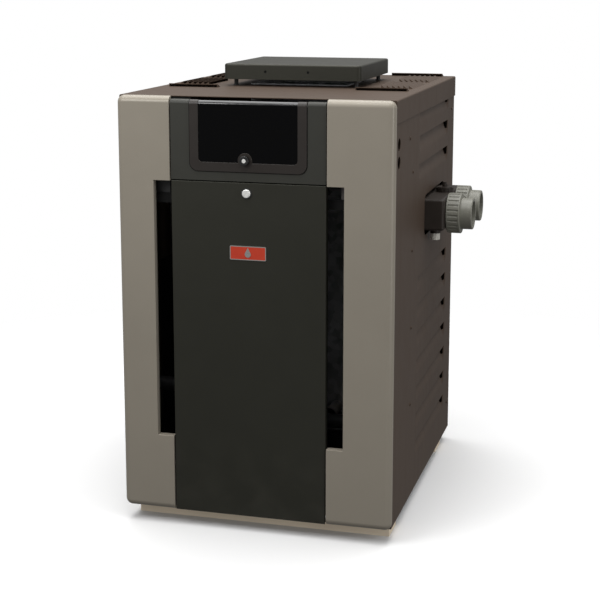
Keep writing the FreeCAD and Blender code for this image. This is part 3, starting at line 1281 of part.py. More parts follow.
def ignition_module():
    """Spark box on the cross rail with a row of tab terminals."""
    low = CROSS_LOW + SKIN
    case = rounded_box(-214, -158, 24, 58, low, low + 38, 2, 3)
    tabs = [box(x, x + 6, 38, 39, low + 37, low + 44) for x in (-206, -195, -184, -173)]
    return joined([case] + tabs)


def high_limits():
    """Two clip-on temperature limits on the return header's outer face."""
    limits = []
    for y in (BANK_Y - 40, BANK_Y + 40):
        disc = rod("-x", (-RETURN_OUT, y, TUBE_Z), 8.0, 4.0)
        terminal = box(-RETURN_OUT - 5, -RETURN_OUT - 4, y - 3, y + 3, TUBE_Z - 3, TUBE_Z + 3)
        limits.append(joined([disc, terminal]))
    return Part.makeCompound(limits)


NODES["transformer"] = transformer()
NODES["ignition_module"] = ignition_module()
NODES["high_limit_switches"] = high_limits()
NODES["wiring_harness"] = bent_pipe([(WIRE_X, WIRE_Y, TRAY_LOW + 6), (WIRE_X, WIRE_Y, 600),
                                     (WIRE_X, 100, 540),
                                     (WIRE_X + 10, 110, 460), (-40, 130, 390), (-20, 150, 320),
                                     (VALVE_X + TOWER_X, GAS_Y + TOWER_Y, 300),
                                     (VALVE_X + TOWER_X, GAS_Y + TOWER_Y, TOWER_TOP)], 3.2)
NODES["ignition_cable"] = bent_pipe([(-186, 58, 612), (-186, 90, 612), (-190, 110, 545), (-200, 140, 470),
                                     (-212, 180, 380), (-214, 210, 290), (-210, 222, 200), (-190, 232, 140),
                                     (-172, 250, 128)], 3.0)


# ---------------------------------------------------------------- write every piece
def export():
    """Move everything so the origin is under the middle of the heater, then write one file a node."""
    os.makedirs("parts", exist_ok=True)
    whole = Part.makeCompound(list(NODES.values())).BoundBox
    move = V(-(whole.XMin + whole.XMax) / 2, -(whole.YMin + whole.YMax) / 2, 0)
    for name, shape in NODES.items():
        solids = shape.Solids
        if not solids or not all(solid.isValid() and solid.isClosed() for solid in solids):
            raise ValueError("bad solid in " + name)
        placed = Part.makeCompound(solids) if len(solids) > 1 else solids[0]
        placed = placed.copy()
        placed.translate(move)
        placed.exportStep("parts/" + name + ".step")
    print("nodes", len(NODES), "moved by", round(move.x, 3), round(move.y, 3))


export()
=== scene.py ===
"""Looks of the gas pool heater: finishes, fine pieces, studio and camera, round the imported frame."""

import json
import math

import bmesh
import bpy
from mathutils import Matrix, Vector


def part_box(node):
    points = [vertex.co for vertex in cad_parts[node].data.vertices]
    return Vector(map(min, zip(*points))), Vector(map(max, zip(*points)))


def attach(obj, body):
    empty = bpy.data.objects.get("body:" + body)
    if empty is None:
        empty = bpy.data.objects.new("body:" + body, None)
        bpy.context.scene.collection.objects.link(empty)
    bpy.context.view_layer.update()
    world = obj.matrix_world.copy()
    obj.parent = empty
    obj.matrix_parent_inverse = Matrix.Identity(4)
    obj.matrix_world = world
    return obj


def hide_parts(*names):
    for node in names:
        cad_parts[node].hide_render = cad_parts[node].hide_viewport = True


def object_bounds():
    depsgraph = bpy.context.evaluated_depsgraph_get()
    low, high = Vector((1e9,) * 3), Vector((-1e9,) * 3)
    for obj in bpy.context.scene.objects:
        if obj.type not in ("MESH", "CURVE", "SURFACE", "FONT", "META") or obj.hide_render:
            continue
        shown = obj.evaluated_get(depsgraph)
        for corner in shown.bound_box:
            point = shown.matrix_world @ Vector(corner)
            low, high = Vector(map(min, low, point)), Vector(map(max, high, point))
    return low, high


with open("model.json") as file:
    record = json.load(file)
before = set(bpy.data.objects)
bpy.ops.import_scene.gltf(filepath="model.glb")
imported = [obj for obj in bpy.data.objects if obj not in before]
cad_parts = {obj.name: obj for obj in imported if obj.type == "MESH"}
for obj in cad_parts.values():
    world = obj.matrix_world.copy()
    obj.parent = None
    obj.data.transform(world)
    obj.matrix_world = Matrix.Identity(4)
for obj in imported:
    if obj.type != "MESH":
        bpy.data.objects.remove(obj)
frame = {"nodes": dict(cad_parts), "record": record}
cad_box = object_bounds()

MM = 0.001
NODES = frame["nodes"]
BODY = {node: body for body, members in frame["record"]["behaviour"]["bodies"].items() for node in members}
SLOT = {row["node"]: row["material_slot"] for row in frame["record"]["subparts"]}
AXIS_AT = {row["name"]: Vector(row["pos_m"]) for row in frame["record"]["behaviour"]["joints"]
           if "pos_m" in row}


# ---------------------------------------------------------------- shader writing
class Value:
    """A shader socket that Python's operators turn into Math nodes."""

    def __init__(self, shader, socket):
        self.shader = shader
        self.socket = socket

    def math(self, operation, *others):
        return self.shader.node("ShaderNodeMath", {"operation": operation}, [self, *others])

    def __add__(self, other):
        return self.math("ADD", other)

    __radd__ = __add__

    def __sub__(self, other):
        return self.math("SUBTRACT", other)

    def __rsub__(self, other):
        return self.shader.node("ShaderNodeMath", {"operation": "SUBTRACT"}, [other, self])

    def __mul__(self, other):
        return self.math("MULTIPLY", other)

    __rmul__ = __mul__

    def __truediv__(self, other):
        return self.math("DIVIDE", other)

    def __pow__(self, other):
        return self.math("POWER", other)

    def ramp(self, low, high):
        """0 below low, 1 above high, eased between."""
        return self.shader.node("ShaderNodeMapRange", {"interpolation_type": "SMOOTHSTEP"}, {
            "Value": self, "From Min": low, "From Max": high})


class Shader:
    """Node tree of one finish."""

    def __init__(self, name):
        self.material = bpy.data.materials.new(name)
        self.material.use_nodes = True
        self.tree = self.material.node_tree
        self.tree.nodes.clear()
        self.place = self.node("ShaderNodeTexCoord", output="Object")
        split = self.node("ShaderNodeSeparateXYZ", inputs=[self.place])
        outputs = split.socket.node.outputs
        self.x, self.y, self.z = (Value(self, output) for output in outputs)

    def node(self, kind, settings=None, inputs=None, output=0):
        node = self.tree.nodes.new(kind)
        for key, value in (settings or {}).items():
            setattr(node, key, value)
        pairs = inputs.items() if isinstance(inputs, dict) else enumerate(inputs or [])
        for key, value in pairs:
            if isinstance(value, Value):
                self.tree.links.new(value.socket, node.inputs[key])
            else:
                node.inputs[key].default_value = value
        return Value(self, node.outputs[output])

    def noise(self, scale, detail=2.0, stretch=(1, 1, 1), roughness=0.5):
        moved = self.node("ShaderNodeMapping", inputs={"Vector": self.place, "Scale": stretch})
        return self.node("ShaderNodeTexNoise", inputs={
            "Vector": moved, "Scale": scale, "Detail": detail, "Roughness": roughness})

    def cells(self, scale, feature="F1", stretch=(1, 1, 1), output="Distance"):
        moved = self.node("ShaderNodeMapping", inputs={"Vector": self.place, "Scale": stretch})
        return self.node("ShaderNodeTexVoronoi", {"feature": feature}, {"Vector": moved, "Scale": scale},
                         output=output)

    def blend(self, factor, first, second):
        node = self.tree.nodes.new("ShaderNodeMix")
        node.data_type = "RGBA"
        sockets = [socket for socket in node.inputs if socket.enabled]
        for socket, value in zip(sockets, (factor, first, second)):
            if isinstance(value, Value):
                self.tree.links.new(value.socket, socket)
            else:
                socket.default_value = value if isinstance(value, float) else (*value[:3], 1.0)
        return Value(self, next(socket for socket in node.outputs if socket.enabled))

    def bump(self, height, depth_mm, strength=1.0, under=None):
        inputs = {"Height": height, "Distance": depth_mm * MM, "Strength": strength}
        if under is not None:
            inputs["Normal"] = under
        return self.node("ShaderNodeBump", inputs=inputs)

    def finish(self, **sockets):
        """Principled surface; a keyword's underscores are the socket name's spaces."""
        inputs = {key.replace("_", " "): value for key, value in sockets.items()}
        for key, value in inputs.items():
            if isinstance(value, tuple) and len(value) == 3:
                inputs[key] = (*value, 1.0)
        surface = self.node("ShaderNodeBsdfPrincipled", inputs=inputs)
        self.node_output(surface)
        return self.material

    def node_output(self, surface):
        out = self.tree.nodes.new("ShaderNodeOutputMaterial")
        self.tree.links.new(surface.socket, out.inputs["Surface"])


def tint(colour, amount):
    return tuple(min(1.0, channel * amount) for channel in colour)


# ---------------------------------------------------------------- finishes
def paint(name, colour, roughness, peel=0.05, drift=0.10, dust=0.25, streaks=0.0, shine=0.4, sheen=(1, 1, 1)):
    """Powder coat: fine orange peel, slow drift of tone, specks, runs, and dust that settles low down."""
    s = Shader(name)
    slow = s.noise(3.5, 3.0)
    cloud = s.noise(22.0, 4.0)
    peel_height = s.noise(900.0, 2.0)
    speck = s.noise(2600.0, 1.0).ramp(0.62, 0.72)
    low = 1.0 - s.z.ramp(0.0, 0.22)
    dirt = low * cloud.ramp(0.35, 0.75) * dust
    tone = (slow * 0.7 + cloud * 0.3).ramp(0.3, 0.7)
    base = s.blend(tone, tint(colour, 1 - drift), tint(colour, 1 + drift))
    base = s.blend(speck * 0.25, base, tint(colour, 1.6))
    base = s.blend(dirt, base, (0.20, 0.18, 0.15))
    rough = roughness + cloud * 0.10 - 0.05 + dirt * 0.3
    if streaks:
        run = s.noise(40.0, 3.0, stretch=(1, 1, 0.06)).ramp(0.5, 0.8)
        base = s.blend(run * streaks, base, tint(colour, 1.35))
        rough = rough + run * 0.05
    normal = s.bump(peel_height, peel, 0.35)
    normal = s.bump(slow, 0.6, 0.12, normal)
    return s.finish(Base_Color=base, Roughness=rough, Normal=normal, Specular_IOR_Level=shine,
                    Specular_Tint=sheen)


def moulded(name, colour, roughness, grain=0.04, scale=1400.0, drift=0.08, specular=0.5):
    """Moulded plastic: spark-eroded grain, faint flow marks and handling shine."""
    s = Shader(name)
    grain_height = s.cells(scale)
    flow = s.noise(9.0, 3.0, stretch=(1, 1, 0.4))
    shine = s.noise(30.0, 4.0).ramp(0.45, 0.7)
    base = s.blend(flow, tint(colour, 1 - drift), tint(colour, 1 + drift))
    rough = roughness - shine * 0.07 + grain_height * 0.05
    return s.finish(Base_Color=base, Roughness=rough, Normal=s.bump(grain_height, grain, 0.4),
                    Specular_IOR_Level=specular)


def smoked():
    """Polished smoked acrylic, almost opaque, with faint wipe marks."""
    s = Shader("smoked_lens")
    wipe = s.noise(14.0, 5.0, stretch=(1, 1, 3)).ramp(0.45, 0.8)
    dust = s.noise(1800.0, 1.0).ramp(0.66, 0.72)
    base = s.blend(dust * 0.2, (0.0012, 0.0012, 0.0014), (0.02, 0.02, 0.02))
    polished = (s.z * 1000.0).ramp(LENS_CURL * 1000.0, LENS_CURL * 1000.0 + 1.0)
    return s.finish(Base_Color=base, Roughness=wipe * 0.05 + 0.07 + dust * 0.2, Specular_IOR_Level=0.12,
                    Coat_Weight=polished, Coat_Roughness=0.2,
                    Normal=s.bump(s.noise(6.0, 1.0), 0.1, 0.1))


def brushed(name, colour, roughness, along="x", metallic=1.0, lines=0.35):
    """Drawn or brushed metal with lines along one axis."""
    s = Shader(name)
    stretch = {"x": (0.02, 1, 1), "y": (1, 0.02, 1), "z": (1, 1, 0.02)}[along]
    hair = s.noise(2200.0, 3.0, stretch=stretch)
    stain = s.noise(25.0, 4.0)
    base = s.blend(stain, tint(colour, 0.86), tint(colour, 1.1))
    return s.finish(Base_Color=base, Metallic=metallic, Roughness=roughness + hair * 0.15 + stain * 0.06,
                    Normal=s.bump(hair, 0.02, lines))


def galvanised(name="galvanised", colour=(0.46, 0.47, 0.48)):
    """Zinc spangle: flat crystals that each turn the light a little differently."""
    s = Shader(name)
    crystal = s.node("ShaderNodeSeparateColor", inputs=[s.cells(95.0, output="Color")])
    rim = s.cells(95.0, "DISTANCE_TO_EDGE").ramp(0.0, 0.05)
    cloud = s.noise(18.0, 4.0)
    base = s.blend(crystal * 0.7 + cloud * 0.3, tint(colour, 0.72), tint(colour, 1.25))
    return s.finish(Base_Color=base, Metallic=0.85, Roughness=crystal * 0.22 + 0.30,
                    Normal=s.bump(crystal * 0.5 + rim * 0.5, 0.03, 0.3))


def casting(name, colour, roughness, metallic=0.0, shine=0.5):
    """Sand-cast skin: grainy, slightly pitted, worn paler on its high grains."""
    s = Shader(name)
    sand = s.noise(700.0, 4.0)
    pits = 1.0 - s.cells(260.0).ramp(0.05, 0.22)
    cloud = s.noise(30.0, 4.0)
    base = s.blend(cloud, tint(colour, 0.75), tint(colour, 1.35))
    base = s.blend(sand.ramp(0.6, 0.75) * 0.3, base, tint(colour, 2.2))
    normal = s.bump(sand, 0.18, 0.5)
    return s.finish(Base_Color=base, Metallic=metallic, Roughness=roughness + cloud * 0.12,
                    Specular_IOR_Level=shine, Normal=s.bump(1.0 - pits, 0.25, 0.35, normal))


def pvc():
    """Grey moulded pipe plastic with a soft skin shine, flow clouds and handling scuffs."""
    s = Shader("grey_pvc")
    colour = (0.172, 0.169, 0.140)
    flow = s.noise(26.0, 4.0, stretch=(0.5, 1, 1))
    scuff = s.noise(240.0, 5.0, stretch=(1, 0.25, 1)).ramp(0.62, 0.74)
    base = s.blend(flow, tint(colour, 0.88), tint(colour, 1.12))
    base = s.blend(scuff * 0.35, base, (0.40, 0.39, 0.34))
    return s.finish(Base_Color=base, Roughness=0.36 + flow * 0.08 + scuff * 0.15,
                    Normal=s.bump(s.noise(420.0, 3.0), 0.05, 0.3))


def enamelled():
    """Brick-red baked enamel inside a bright rim, with the raised drop left bare."""
    s = Shader("badge_metal")
    low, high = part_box("badge_plate")
    middle = (low + high) / 2
    across = (s.x - middle.x).math("ABSOLUTE") * 1000.0
    up = (s.z - middle.z).math("ABSOLUTE") * 1000.0
    rim = across.ramp((high.x - low.x) * 500 - 1.7, (high.x - low.x) * 500 - 1.3)
    edge = up.ramp((high.z - low.z) * 500 - 1.7, (high.z - low.z) * 500 - 1.3)
    drop = 1.0 - ((s.y - low.y) * 1000.0).ramp(0.4, 0.5)
    bare = rim.math("MAXIMUM", edge).math("MAXIMUM", drop)
    hair = s.noise(2200.0, 3.0, stretch=(0.02, 1, 1))
    cloud = s.noise(60.0, 3.0)
    enamel = s.blend(cloud, (0.42, 0.030, 0.012), (0.52, 0.048, 0.018))
    metal = s.blend(hair, (0.58, 0.56, 0.53), (0.74, 0.72, 0.69))
    return s.finish(Base_Color=s.blend(bare, enamel, metal), Metallic=bare, Roughness=hair * 0.1 + 0.24,
                    Normal=s.bump(hair, 0.02, 0.2))


def heat_tinted():
    """Stainless steel coloured straw to blue by the flame."""
    s = Shader("burner_steel")
    heat = s.noise(16.0, 4.0).ramp(0.3, 0.7)
    base = s.blend(heat, (0.42, 0.36, 0.28), (0.24, 0.24, 0.30))
    hair = s.noise(1500.0, 2.0, stretch=(1, 0.03, 1))
    return s.finish(Base_Color=base, Metallic=1.0, Roughness=0.34 + hair * 0.15,
                    Normal=s.bump(hair, 0.02, 0.3))


def fibre_board():
    """Vacuum-formed refractory: felted fibres and scorch near the flame."""
    s = Shader("refractory")
    felt = s.noise(380.0, 6.0, roughness=0.7)
    scorch = (1.0 - s.z.ramp(0.2, 0.45)) * s.noise(12.0, 4.0).ramp(0.3, 0.7)
    base = s.blend(felt, (0.66, 0.62, 0.54), (0.88, 0.86, 0.80))
    base = s.blend(scorch * 0.6, base, (0.20, 0.15, 0.11))
    return s.finish(Base_Color=base, Roughness=0.92 + felt * 0.05, Normal=s.bump(felt, 0.6, 0.7))


def circuit_laminate():
    """Solder mask with traces; parts standing on it are near black."""
    s = Shader("board_green")
    front = 1.0 - (s.y * 1000.0 - BOARD_FRONT * 1000.0 - 1.7).ramp(0.0, 0.2)
    wave = s.node("ShaderNodeTexWave", {"wave_type": "BANDS", "bands_direction": "Z"},
                  {"Vector": s.place, "Scale": 160.0, "Distortion": 6.0, "Detail": 1.0})
    track = wave.ramp(0.55, 0.7)
    mask = s.blend(track, (0.012, 0.10, 0.035), (0.03, 0.19, 0.07))
    base = s.blend(front, (0.03, 0.03, 0.035), mask)
    return s.finish(Base_Color=base, Roughness=0.42 - front * 0.12, Normal=s.bump(track, 0.05, 0.3))


def keypad_film():
    """Printed matt film with a paler rule round each key row."""
    s = Shader("keypad_film")
    weave = s.cells(2600.0)
    band = (s.z * 1000.0 - KEY_ROW * 1000.0).math("ABSOLUTE").ramp(11.0, 12.0)
    line = band * (1.0 - (s.z * 1000.0 - KEY_ROW * 1000.0).math("ABSOLUTE").ramp(13.0, 14.0))
    base = s.blend(line, (0.055, 0.06, 0.068), (0.33, 0.34, 0.36))
    return s.finish(Base_Color=base, Roughness=0.5 + weave * 0.1, Normal=s.bump(weave, 0.01, 0.3))


def display_screen():
    """Grey-green liquid-crystal window, faintly lit, with a fine dot grid."""
    s = Shader("display_glass")
    grid = s.cells(1500.0).ramp(0.1, 0.5)
    glow = s.noise(6.0, 1.0)
    base = s.blend(grid, (0.10, 0.15, 0.10), (0.20, 0.27, 0.18))
    return s.finish(Base_Color=base, Roughness=0.12 + grid * 0.05, Emission_Color=base,
                    Emission_Strength=0.25, Coat_Weight=0.6, Normal=s.bump(glow, 0.05, 0.1))


def cable(name, colour):
    """Extruded jacket with a soft sheen and fine pulling marks."""
    s = Shader(name)
    marks = s.noise(900.0, 3.0, stretch=(1, 1, 0.1))
    cloud = s.noise(40.0, 3.0)
    base = s.blend(cloud, tint(colour, 0.8), tint(colour, 1.25))
    return s.finish(Base_Color=base, Roughness=0.45 + marks * 0.15, Normal=s.bump(marks, 0.02, 0.4))


LENS_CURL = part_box("window_lens")[1].z - 6.0 * MM
BOARD_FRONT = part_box("circuit_board")[0].y + 4 * MM
KEY_ROW = (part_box("button_mode")[0].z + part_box("button_mode")[1].z) / 2
FINISH = {
    "post_paint": paint("post_paint", (0.245, 0.220, 0.180), 0.34, peel=0.05, drift=0.03, dust=0.05,
                        shine=0.45, sheen=(1.0, 0.96, 0.88)),
    "front_paint": paint("front_paint", (0.019, 0.019, 0.0150), 0.46, peel=0.06, drift=0.05, dust=0.04,
                         shine=0.3, sheen=(1.0, 0.98, 0.85)),
    "cabinet_paint": paint("cabinet_paint", (0.064, 0.046, 0.035), 0.50, peel=0.07, drift=0.06, dust=0.05,
                           streaks=0.05, shine=0.14, sheen=(1.0, 0.78, 0.62)),
    # inside paint: real black paint taken almost to zero so the slots, gaps and holes read black, partly
    # painted shade
    "inner_paint": paint("inner_paint", (0.006, 0.006, 0.006), 0.65, peel=0.08, drift=0.1, dust=0.0,
                         shine=0.1),
    "fascia_plastic": moulded("fascia_plastic", (0.027, 0.027, 0.0215), 0.50, grain=0.05, specular=0.35),
    "lid_plastic": moulded("lid_plastic", (0.020, 0.016, 0.0135), 0.42, grain=0.04, specular=0.35),
    "smoked_lens": smoked(),
    "latch_plastic": moulded("latch_plastic", (0.012, 0.012, 0.012), 0.35, grain=0.03),
    "bright_steel": brushed("bright_steel", (0.90, 0.90, 0.87), 0.30, "z", metallic=0.55),
    "badge_metal": enamelled(),
    "galvanised": galvanised(),
    # rail paint: real tan, made paler to stand in for the bounce light the floor does not give, partly
    # painted light
    "rail_paint": paint("rail_paint", (0.90, 0.76, 0.58), 0.55, peel=0.1, drift=0.1, dust=0.1),
    "dark_cast": casting("dark_cast", (0.024, 0.0185, 0.015), 0.42, shine=0.25),
    "grey_pvc": pvc(),
    "white_plastic": moulded("white_plastic", (0.62, 0.60, 0.54), 0.42, grain=0.03),
    "rubber_seal": moulded("rubber_seal", (0.015, 0.015, 0.015), 0.7, grain=0.08, scale=900.0),
    "copper": brushed("copper", (0.62, 0.30, 0.18), 0.30, "x"),
    "refractory": fibre_board(),
    "burner_steel": heat_tinted(),
    "brass": brushed("brass", (0.70, 0.50, 0.22), 0.24, "y"),
    "gas_pipe": casting("gas_pipe", (0.030, 0.030, 0.031), 0.45, 0.5),
    "cast_aluminium": casting("cast_aluminium", (0.42, 0.42, 0.43), 0.40, 0.9),
    "board_green": circuit_laminate(),
    "keypad_film": keypad_film(),
    "key_rubber": moulded("key_rubber", (0.20, 0.21, 0.22), 0.6, grain=0.06, scale=1100.0),
    "display_glass": display_screen(),
    "winding": casting("winding", (0.12, 0.11, 0.105), 0.45, 0.7),
    "black_plastic": moulded("black_plastic", (0.018, 0.018, 0.018), 0.48, grain=0.05),
    "wire_black": cable("wire_black", (0.02, 0.02, 0.02)),
}


# ---------------------------------------------------------------- pieces
def show(mesh, name, nodes, slot=None):
    """Put a finished mesh in the scene as a piece that stands for the named nodes of one body."""
    piece = bpy.data.objects.new(name, mesh)
    bpy.context.scene.collection.objects.link(piece)
    slot = slot or SLOT[nodes[0]]
    mesh.materials.clear()
    mesh.materials.append(FINISH[slot])
    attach(piece, BODY[nodes[0]])
    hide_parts(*nodes)
    return piece


def refined(node, edge_mm=0.0, crease=32.0):
    """Copy of a node with welded corners, smooth curves, crisp folds and a small round on its edges."""
    work = bmesh.new()
    work.from_mesh(NODES[node].data)
    bmesh.ops.remove_doubles(work, verts=work.verts, dist=2e-6)
    bmesh.ops.dissolve_limit(work, angle_limit=math.radians(0.4), verts=work.verts, edges=work.edges)
    for face in work.faces:
        face.smooth = True
    for edge in work.edges:
        edge.smooth = len(edge.link_faces) == 2 and edge.calc_face_angle(0.0) < math.radians(crease)
    mesh = bpy.data.meshes.new(node + "_skin")
    work.to_mesh(mesh)
    work.free()
    piece = show(mesh, node + "_skin", [node])
    if edge_mm:
        bevel = piece.modifiers.new("edge", "BEVEL")
        bevel.width = edge_mm * MM
        bevel.segments = 2
        bevel.limit_method = "ANGLE"
        bevel.angle_limit = math.radians(crease)
        bevel.miter_outer = "MITER_ARC"
        bevel.harden_normals = True
        bevel.use_clamp_overlap = True
    even = piece.modifiers.new("even", "WEIGHTED_NORMAL")
    even.weight = 80
    even.keep_sharp = True
    return piece


EDGES = {
    "front_post_left": 0.5, "front_post_right": 0.5, "door": 0.4, "control_fascia": 0.4, "window_frame": 0.7,
    "window_lens": 0.4, "top_panel": 0.3, "side_panel_right": 0.3, "side_panel_left": 0.3, "rear_panel": 0.3,
    "vent_cap": 0.4, "rail_front": 0.5, "rail_rear": 0.5, "water_header": 0.8, "return_header": 0.8,
}
KEPT_AS_CAD = ("door_hooks", "door_stiffeners", "water_gaskets", "chamber_wrap", "burner_tray", "base_pan",
               "refractory_panels", "tube_sheets", "cross_rail", "circuit_board", "display_module",
               "keypad_plate", "window_hinge_pins")
MADE_HERE = ("cabinet_screws", "header_bolts", "finned_tubes")
for node, thing in NODES.items():
    thing.data.materials.clear()
    thing.data.materials.append(FINISH[SLOT[node]])
    if node not in KEPT_AS_CAD + MADE_HERE:
        refined(node, EDGES.get(node, 0.0))


# ---------------------------------------------------------------- grown detail
class Growth:
    """Geometry Nodes tree with named sizes, run once and kept as a plain mesh."""

    def __init__(self, name, **sizes):
        self.tree = bpy.data.node_groups.new(name, "GeometryNodeTree")
        interface = self.tree.interface
        interface.new_socket("Geometry", in_out="INPUT", socket_type="NodeSocketGeometry")
        self.values = {}
        for label, value in sizes.items():
            kind = "NodeSocketInt" if isinstance(value, int) else "NodeSocketFloat"
            socket = interface.new_socket(label.replace("_", " "), in_out="INPUT", socket_type=kind)
            self.values[socket.identifier] = value
        interface.new_socket("Geometry", in_out="OUTPUT", socket_type="NodeSocketGeometry")
        outputs = self.tree.nodes.new("NodeGroupInput").outputs
        self.seed_points = Value(self, outputs[0])
        for label, output in zip(sizes, outputs[1:]):
            setattr(self, label.lower(), Value(self, output))

    node = Shader.node

    def vector(self, x=0.0, y=0.0, z=0.0):
        return self.node("ShaderNodeCombineXYZ", inputs=[x, y, z])

    def prism(self, sides, radius, depth, base, top=None):
        """Upright prism or cone on the plane z = base."""
        inputs = {"Vertices": sides, "Radius Bottom": radius, "Radius Top": radius if top is None else top,
                  "Depth": depth}
        cone = self.node("GeometryNodeMeshCone", inputs=inputs)
        return self.moved(cone, self.vector(z=base))

    def block(self, x, y, z, centre):
        cube = self.node("GeometryNodeMeshCube", inputs={"Size": self.vector(x, y, z)})
        return self.moved(cube, centre)

    def moved(self, shape, offset):
        return self.node("GeometryNodeTransform", inputs={"Geometry": shape, "Translation": offset})

    def together(self, *shapes):
        join = self.tree.nodes.new("GeometryNodeJoinGeometry")
        for shape in reversed(shapes):
            self.tree.links.new(shape.socket, join.inputs[0])
        return Value(self, join.outputs[0])

    def cut(self, shape, tool):
        node = self.tree.nodes.new("GeometryNodeMeshBoolean")
        node.operation = "DIFFERENCE"
        node.solver = "EXACT"
        self.tree.links.new(shape.socket, node.inputs[0])
        self.tree.links.new(tool.socket, node.inputs[1])
        return Value(self, node.outputs[0])

    def placed(self, shape):
        """Copies of a shape on the seed points, each with its z axis along the point's axis."""
        axis = self.node("GeometryNodeInputNamedAttribute", {"data_type": "FLOAT_VECTOR"}, {"Name": "axis"})
        turn = self.node("FunctionNodeAlignRotationToVector", {"axis": "Z"}, {"Vector": axis})
        return self.node("GeometryNodeInstanceOnPoints", inputs={
            "Points": self.seed_points, "Instance": shape, "Rotation": turn})

    def swept(self, path, profile):
        return self.node("GeometryNodeCurveToMesh", inputs={"Curve": path, "Profile Curve": profile})

    def grow(self, shape, name, nodes, points, slot=None, body=None, smooth=35.0):
        """Finish the tree, run it on the points and show the result."""
        slot = slot or SLOT[nodes[0]]
        real = self.node("GeometryNodeRealizeInstances", inputs={"Geometry": shape})
        coated = self.node("GeometryNodeSetMaterial", inputs={"Geometry": real, "Material": FINISH[slot]})
        out = self.tree.nodes.new("NodeGroupOutput")
        self.tree.links.new(coated.socket, out.inputs[0])
        base = bpy.data.meshes.new(name + "_points")
        base.from_pydata([place for place, axis in points], [], [])
        axes = base.attributes.new("axis", "FLOAT_VECTOR", "POINT")
        axes.data.foreach_set("vector", [number for place, axis in points for number in axis])
        holder = bpy.data.objects.new(name + "_points", base)
        bpy.context.scene.collection.objects.link(holder)
        modifier = holder.modifiers.new("grow", "NODES")
        modifier.node_group = self.tree
        for identifier, value in self.values.items():
            modifier[identifier] = value
        graph = bpy.context.evaluated_depsgraph_get()
        mesh = bpy.data.meshes.new_from_object(holder.evaluated_get(graph))
        bpy.data.objects.remove(holder)
        work = bmesh.new()
        work.from_mesh(mesh)
        bmesh.ops.remove_doubles(work, verts=work.verts, dist=1e-6)
        bmesh.ops.recalc_face_normals(work, faces=work.faces)
        for face in work.faces:
            face.smooth = True
        for edge in work.edges:
            edge.smooth = edge.calc_face_angle(math.pi) < math.radians(smooth)
        work.to_mesh(mesh)
        work.free()
        mesh.name = name
        piece = bpy.data.objects.new(name, mesh)
        bpy.context.scene.collection.objects.link(piece)
        mesh.materials.clear()
        mesh.materials.append(FINISH[slot])
        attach(piece, body or BODY[nodes[0]])
        if nodes:
            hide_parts(*nodes)
        return piece


def solids_of(node):
    """Box of each separate solid in a node."""
    work = bmesh.new()
    work.from_mesh(NODES[node].data)
    bmesh.ops.remove_doubles(work, verts=work.verts, dist=2e-6)
    left = set(work.verts)
    boxes = []
    while left:
        pile = [left.pop()]
        low = pile[0].co.copy()
        high = pile[0].co.copy()
        while pile:
            corner = pile.pop()
            for axis in range(3):
                low[axis] = min(low[axis], corner.co[axis])
                high[axis] = max(high[axis], corner.co[axis])
            for edge in corner.link_edges:
                other = edge.other_vert(corner)
                if other in left:
                    left.remove(other)
                    pile.append(other)
        boxes.append((low, high))
    work.free()
    return sorted(boxes, key=lambda pair: tuple(pair[0]))


CENTRE = (cad_box[0][0] + cad_box[1][0]) / 2, (cad_box[0][1] + cad_box[1][1]) / 2


def seats(node, axes="xy"):
    """Seat point and outward axis of each small solid in a node: its thinnest way, away from the middle."""
    found = []
    for low, high in solids_of(node):
        size = high - low
        middle = (low + high) / 2
        axis = min(range(2), key=lambda way: size[way]) if axes == "xy" else "xyz".index(axes)
        sign = 1 if middle[axis] > CENTRE[axis] else -1
        seat = middle.copy()
        seat[axis] = low[axis] if sign > 0 else high[axis]
        out = Vector((0, 0, 0))
        out[axis] = sign
        found.append((seat, out, size))
    return found


def screws():
    """Slotted hexagon washer-head screws on the CAD screw heads."""
    spots = [spot for spot in seats("cabinet_screws") if min(spot[2]) < 3 * MM]
    size = spots[0][2]
    flange = max(size) / 2
    g = Growth("washer_screw", Flange_Radius=flange, Flange_Thickness=0.9 * MM, Head_Radius=flange * 0.72,
               Head_Height=min(size) - 0.9 * MM, Slot_Width=0.9 * MM, Slot_Depth=0.9 * MM)
    washer = g.prism(20, g.flange_radius, g.flange_thickness, 0.0, g.flange_radius * 0.92)
    head = g.prism(6, g.head_radius, g.head_height, g.flange_thickness, g.head_radius * 0.93)
    top = g.flange_thickness + g.head_height
    slot = g.block(g.head_radius * 3, g.slot_width, g.slot_depth * 2, g.vector(z=top))
    shape = g.together(washer, g.cut(head, slot))
    return g.grow(g.placed(shape), "washer_screws", ["cabinet_screws"], [spot[:2] for spot in spots])


def recessed_screws():
    """Dark slotted screws that fill the holes in the front and back of the vent cap."""
    spots = [spot for spot in seats("cabinet_screws", "y") if min(spot[2]) > 3 * MM]
    size = spots[0][2]
    g = Growth("recessed_screw", Radius=size.x / 2, Length=size.y, Slot_Width=0.9 * MM)
    shank = g.prism(24, g.radius, g.length, 0.0)
    slot = g.block(g.radius * 3, g.slot_width, g.slot_width * 2, g.vector(z=g.length))
    shape = g.cut(shank, slot)
    return g.grow(g.placed(shape), "recessed_screws", [], [spot[:2] for spot in spots], "inner_paint",
                  BODY["cabinet_screws"])


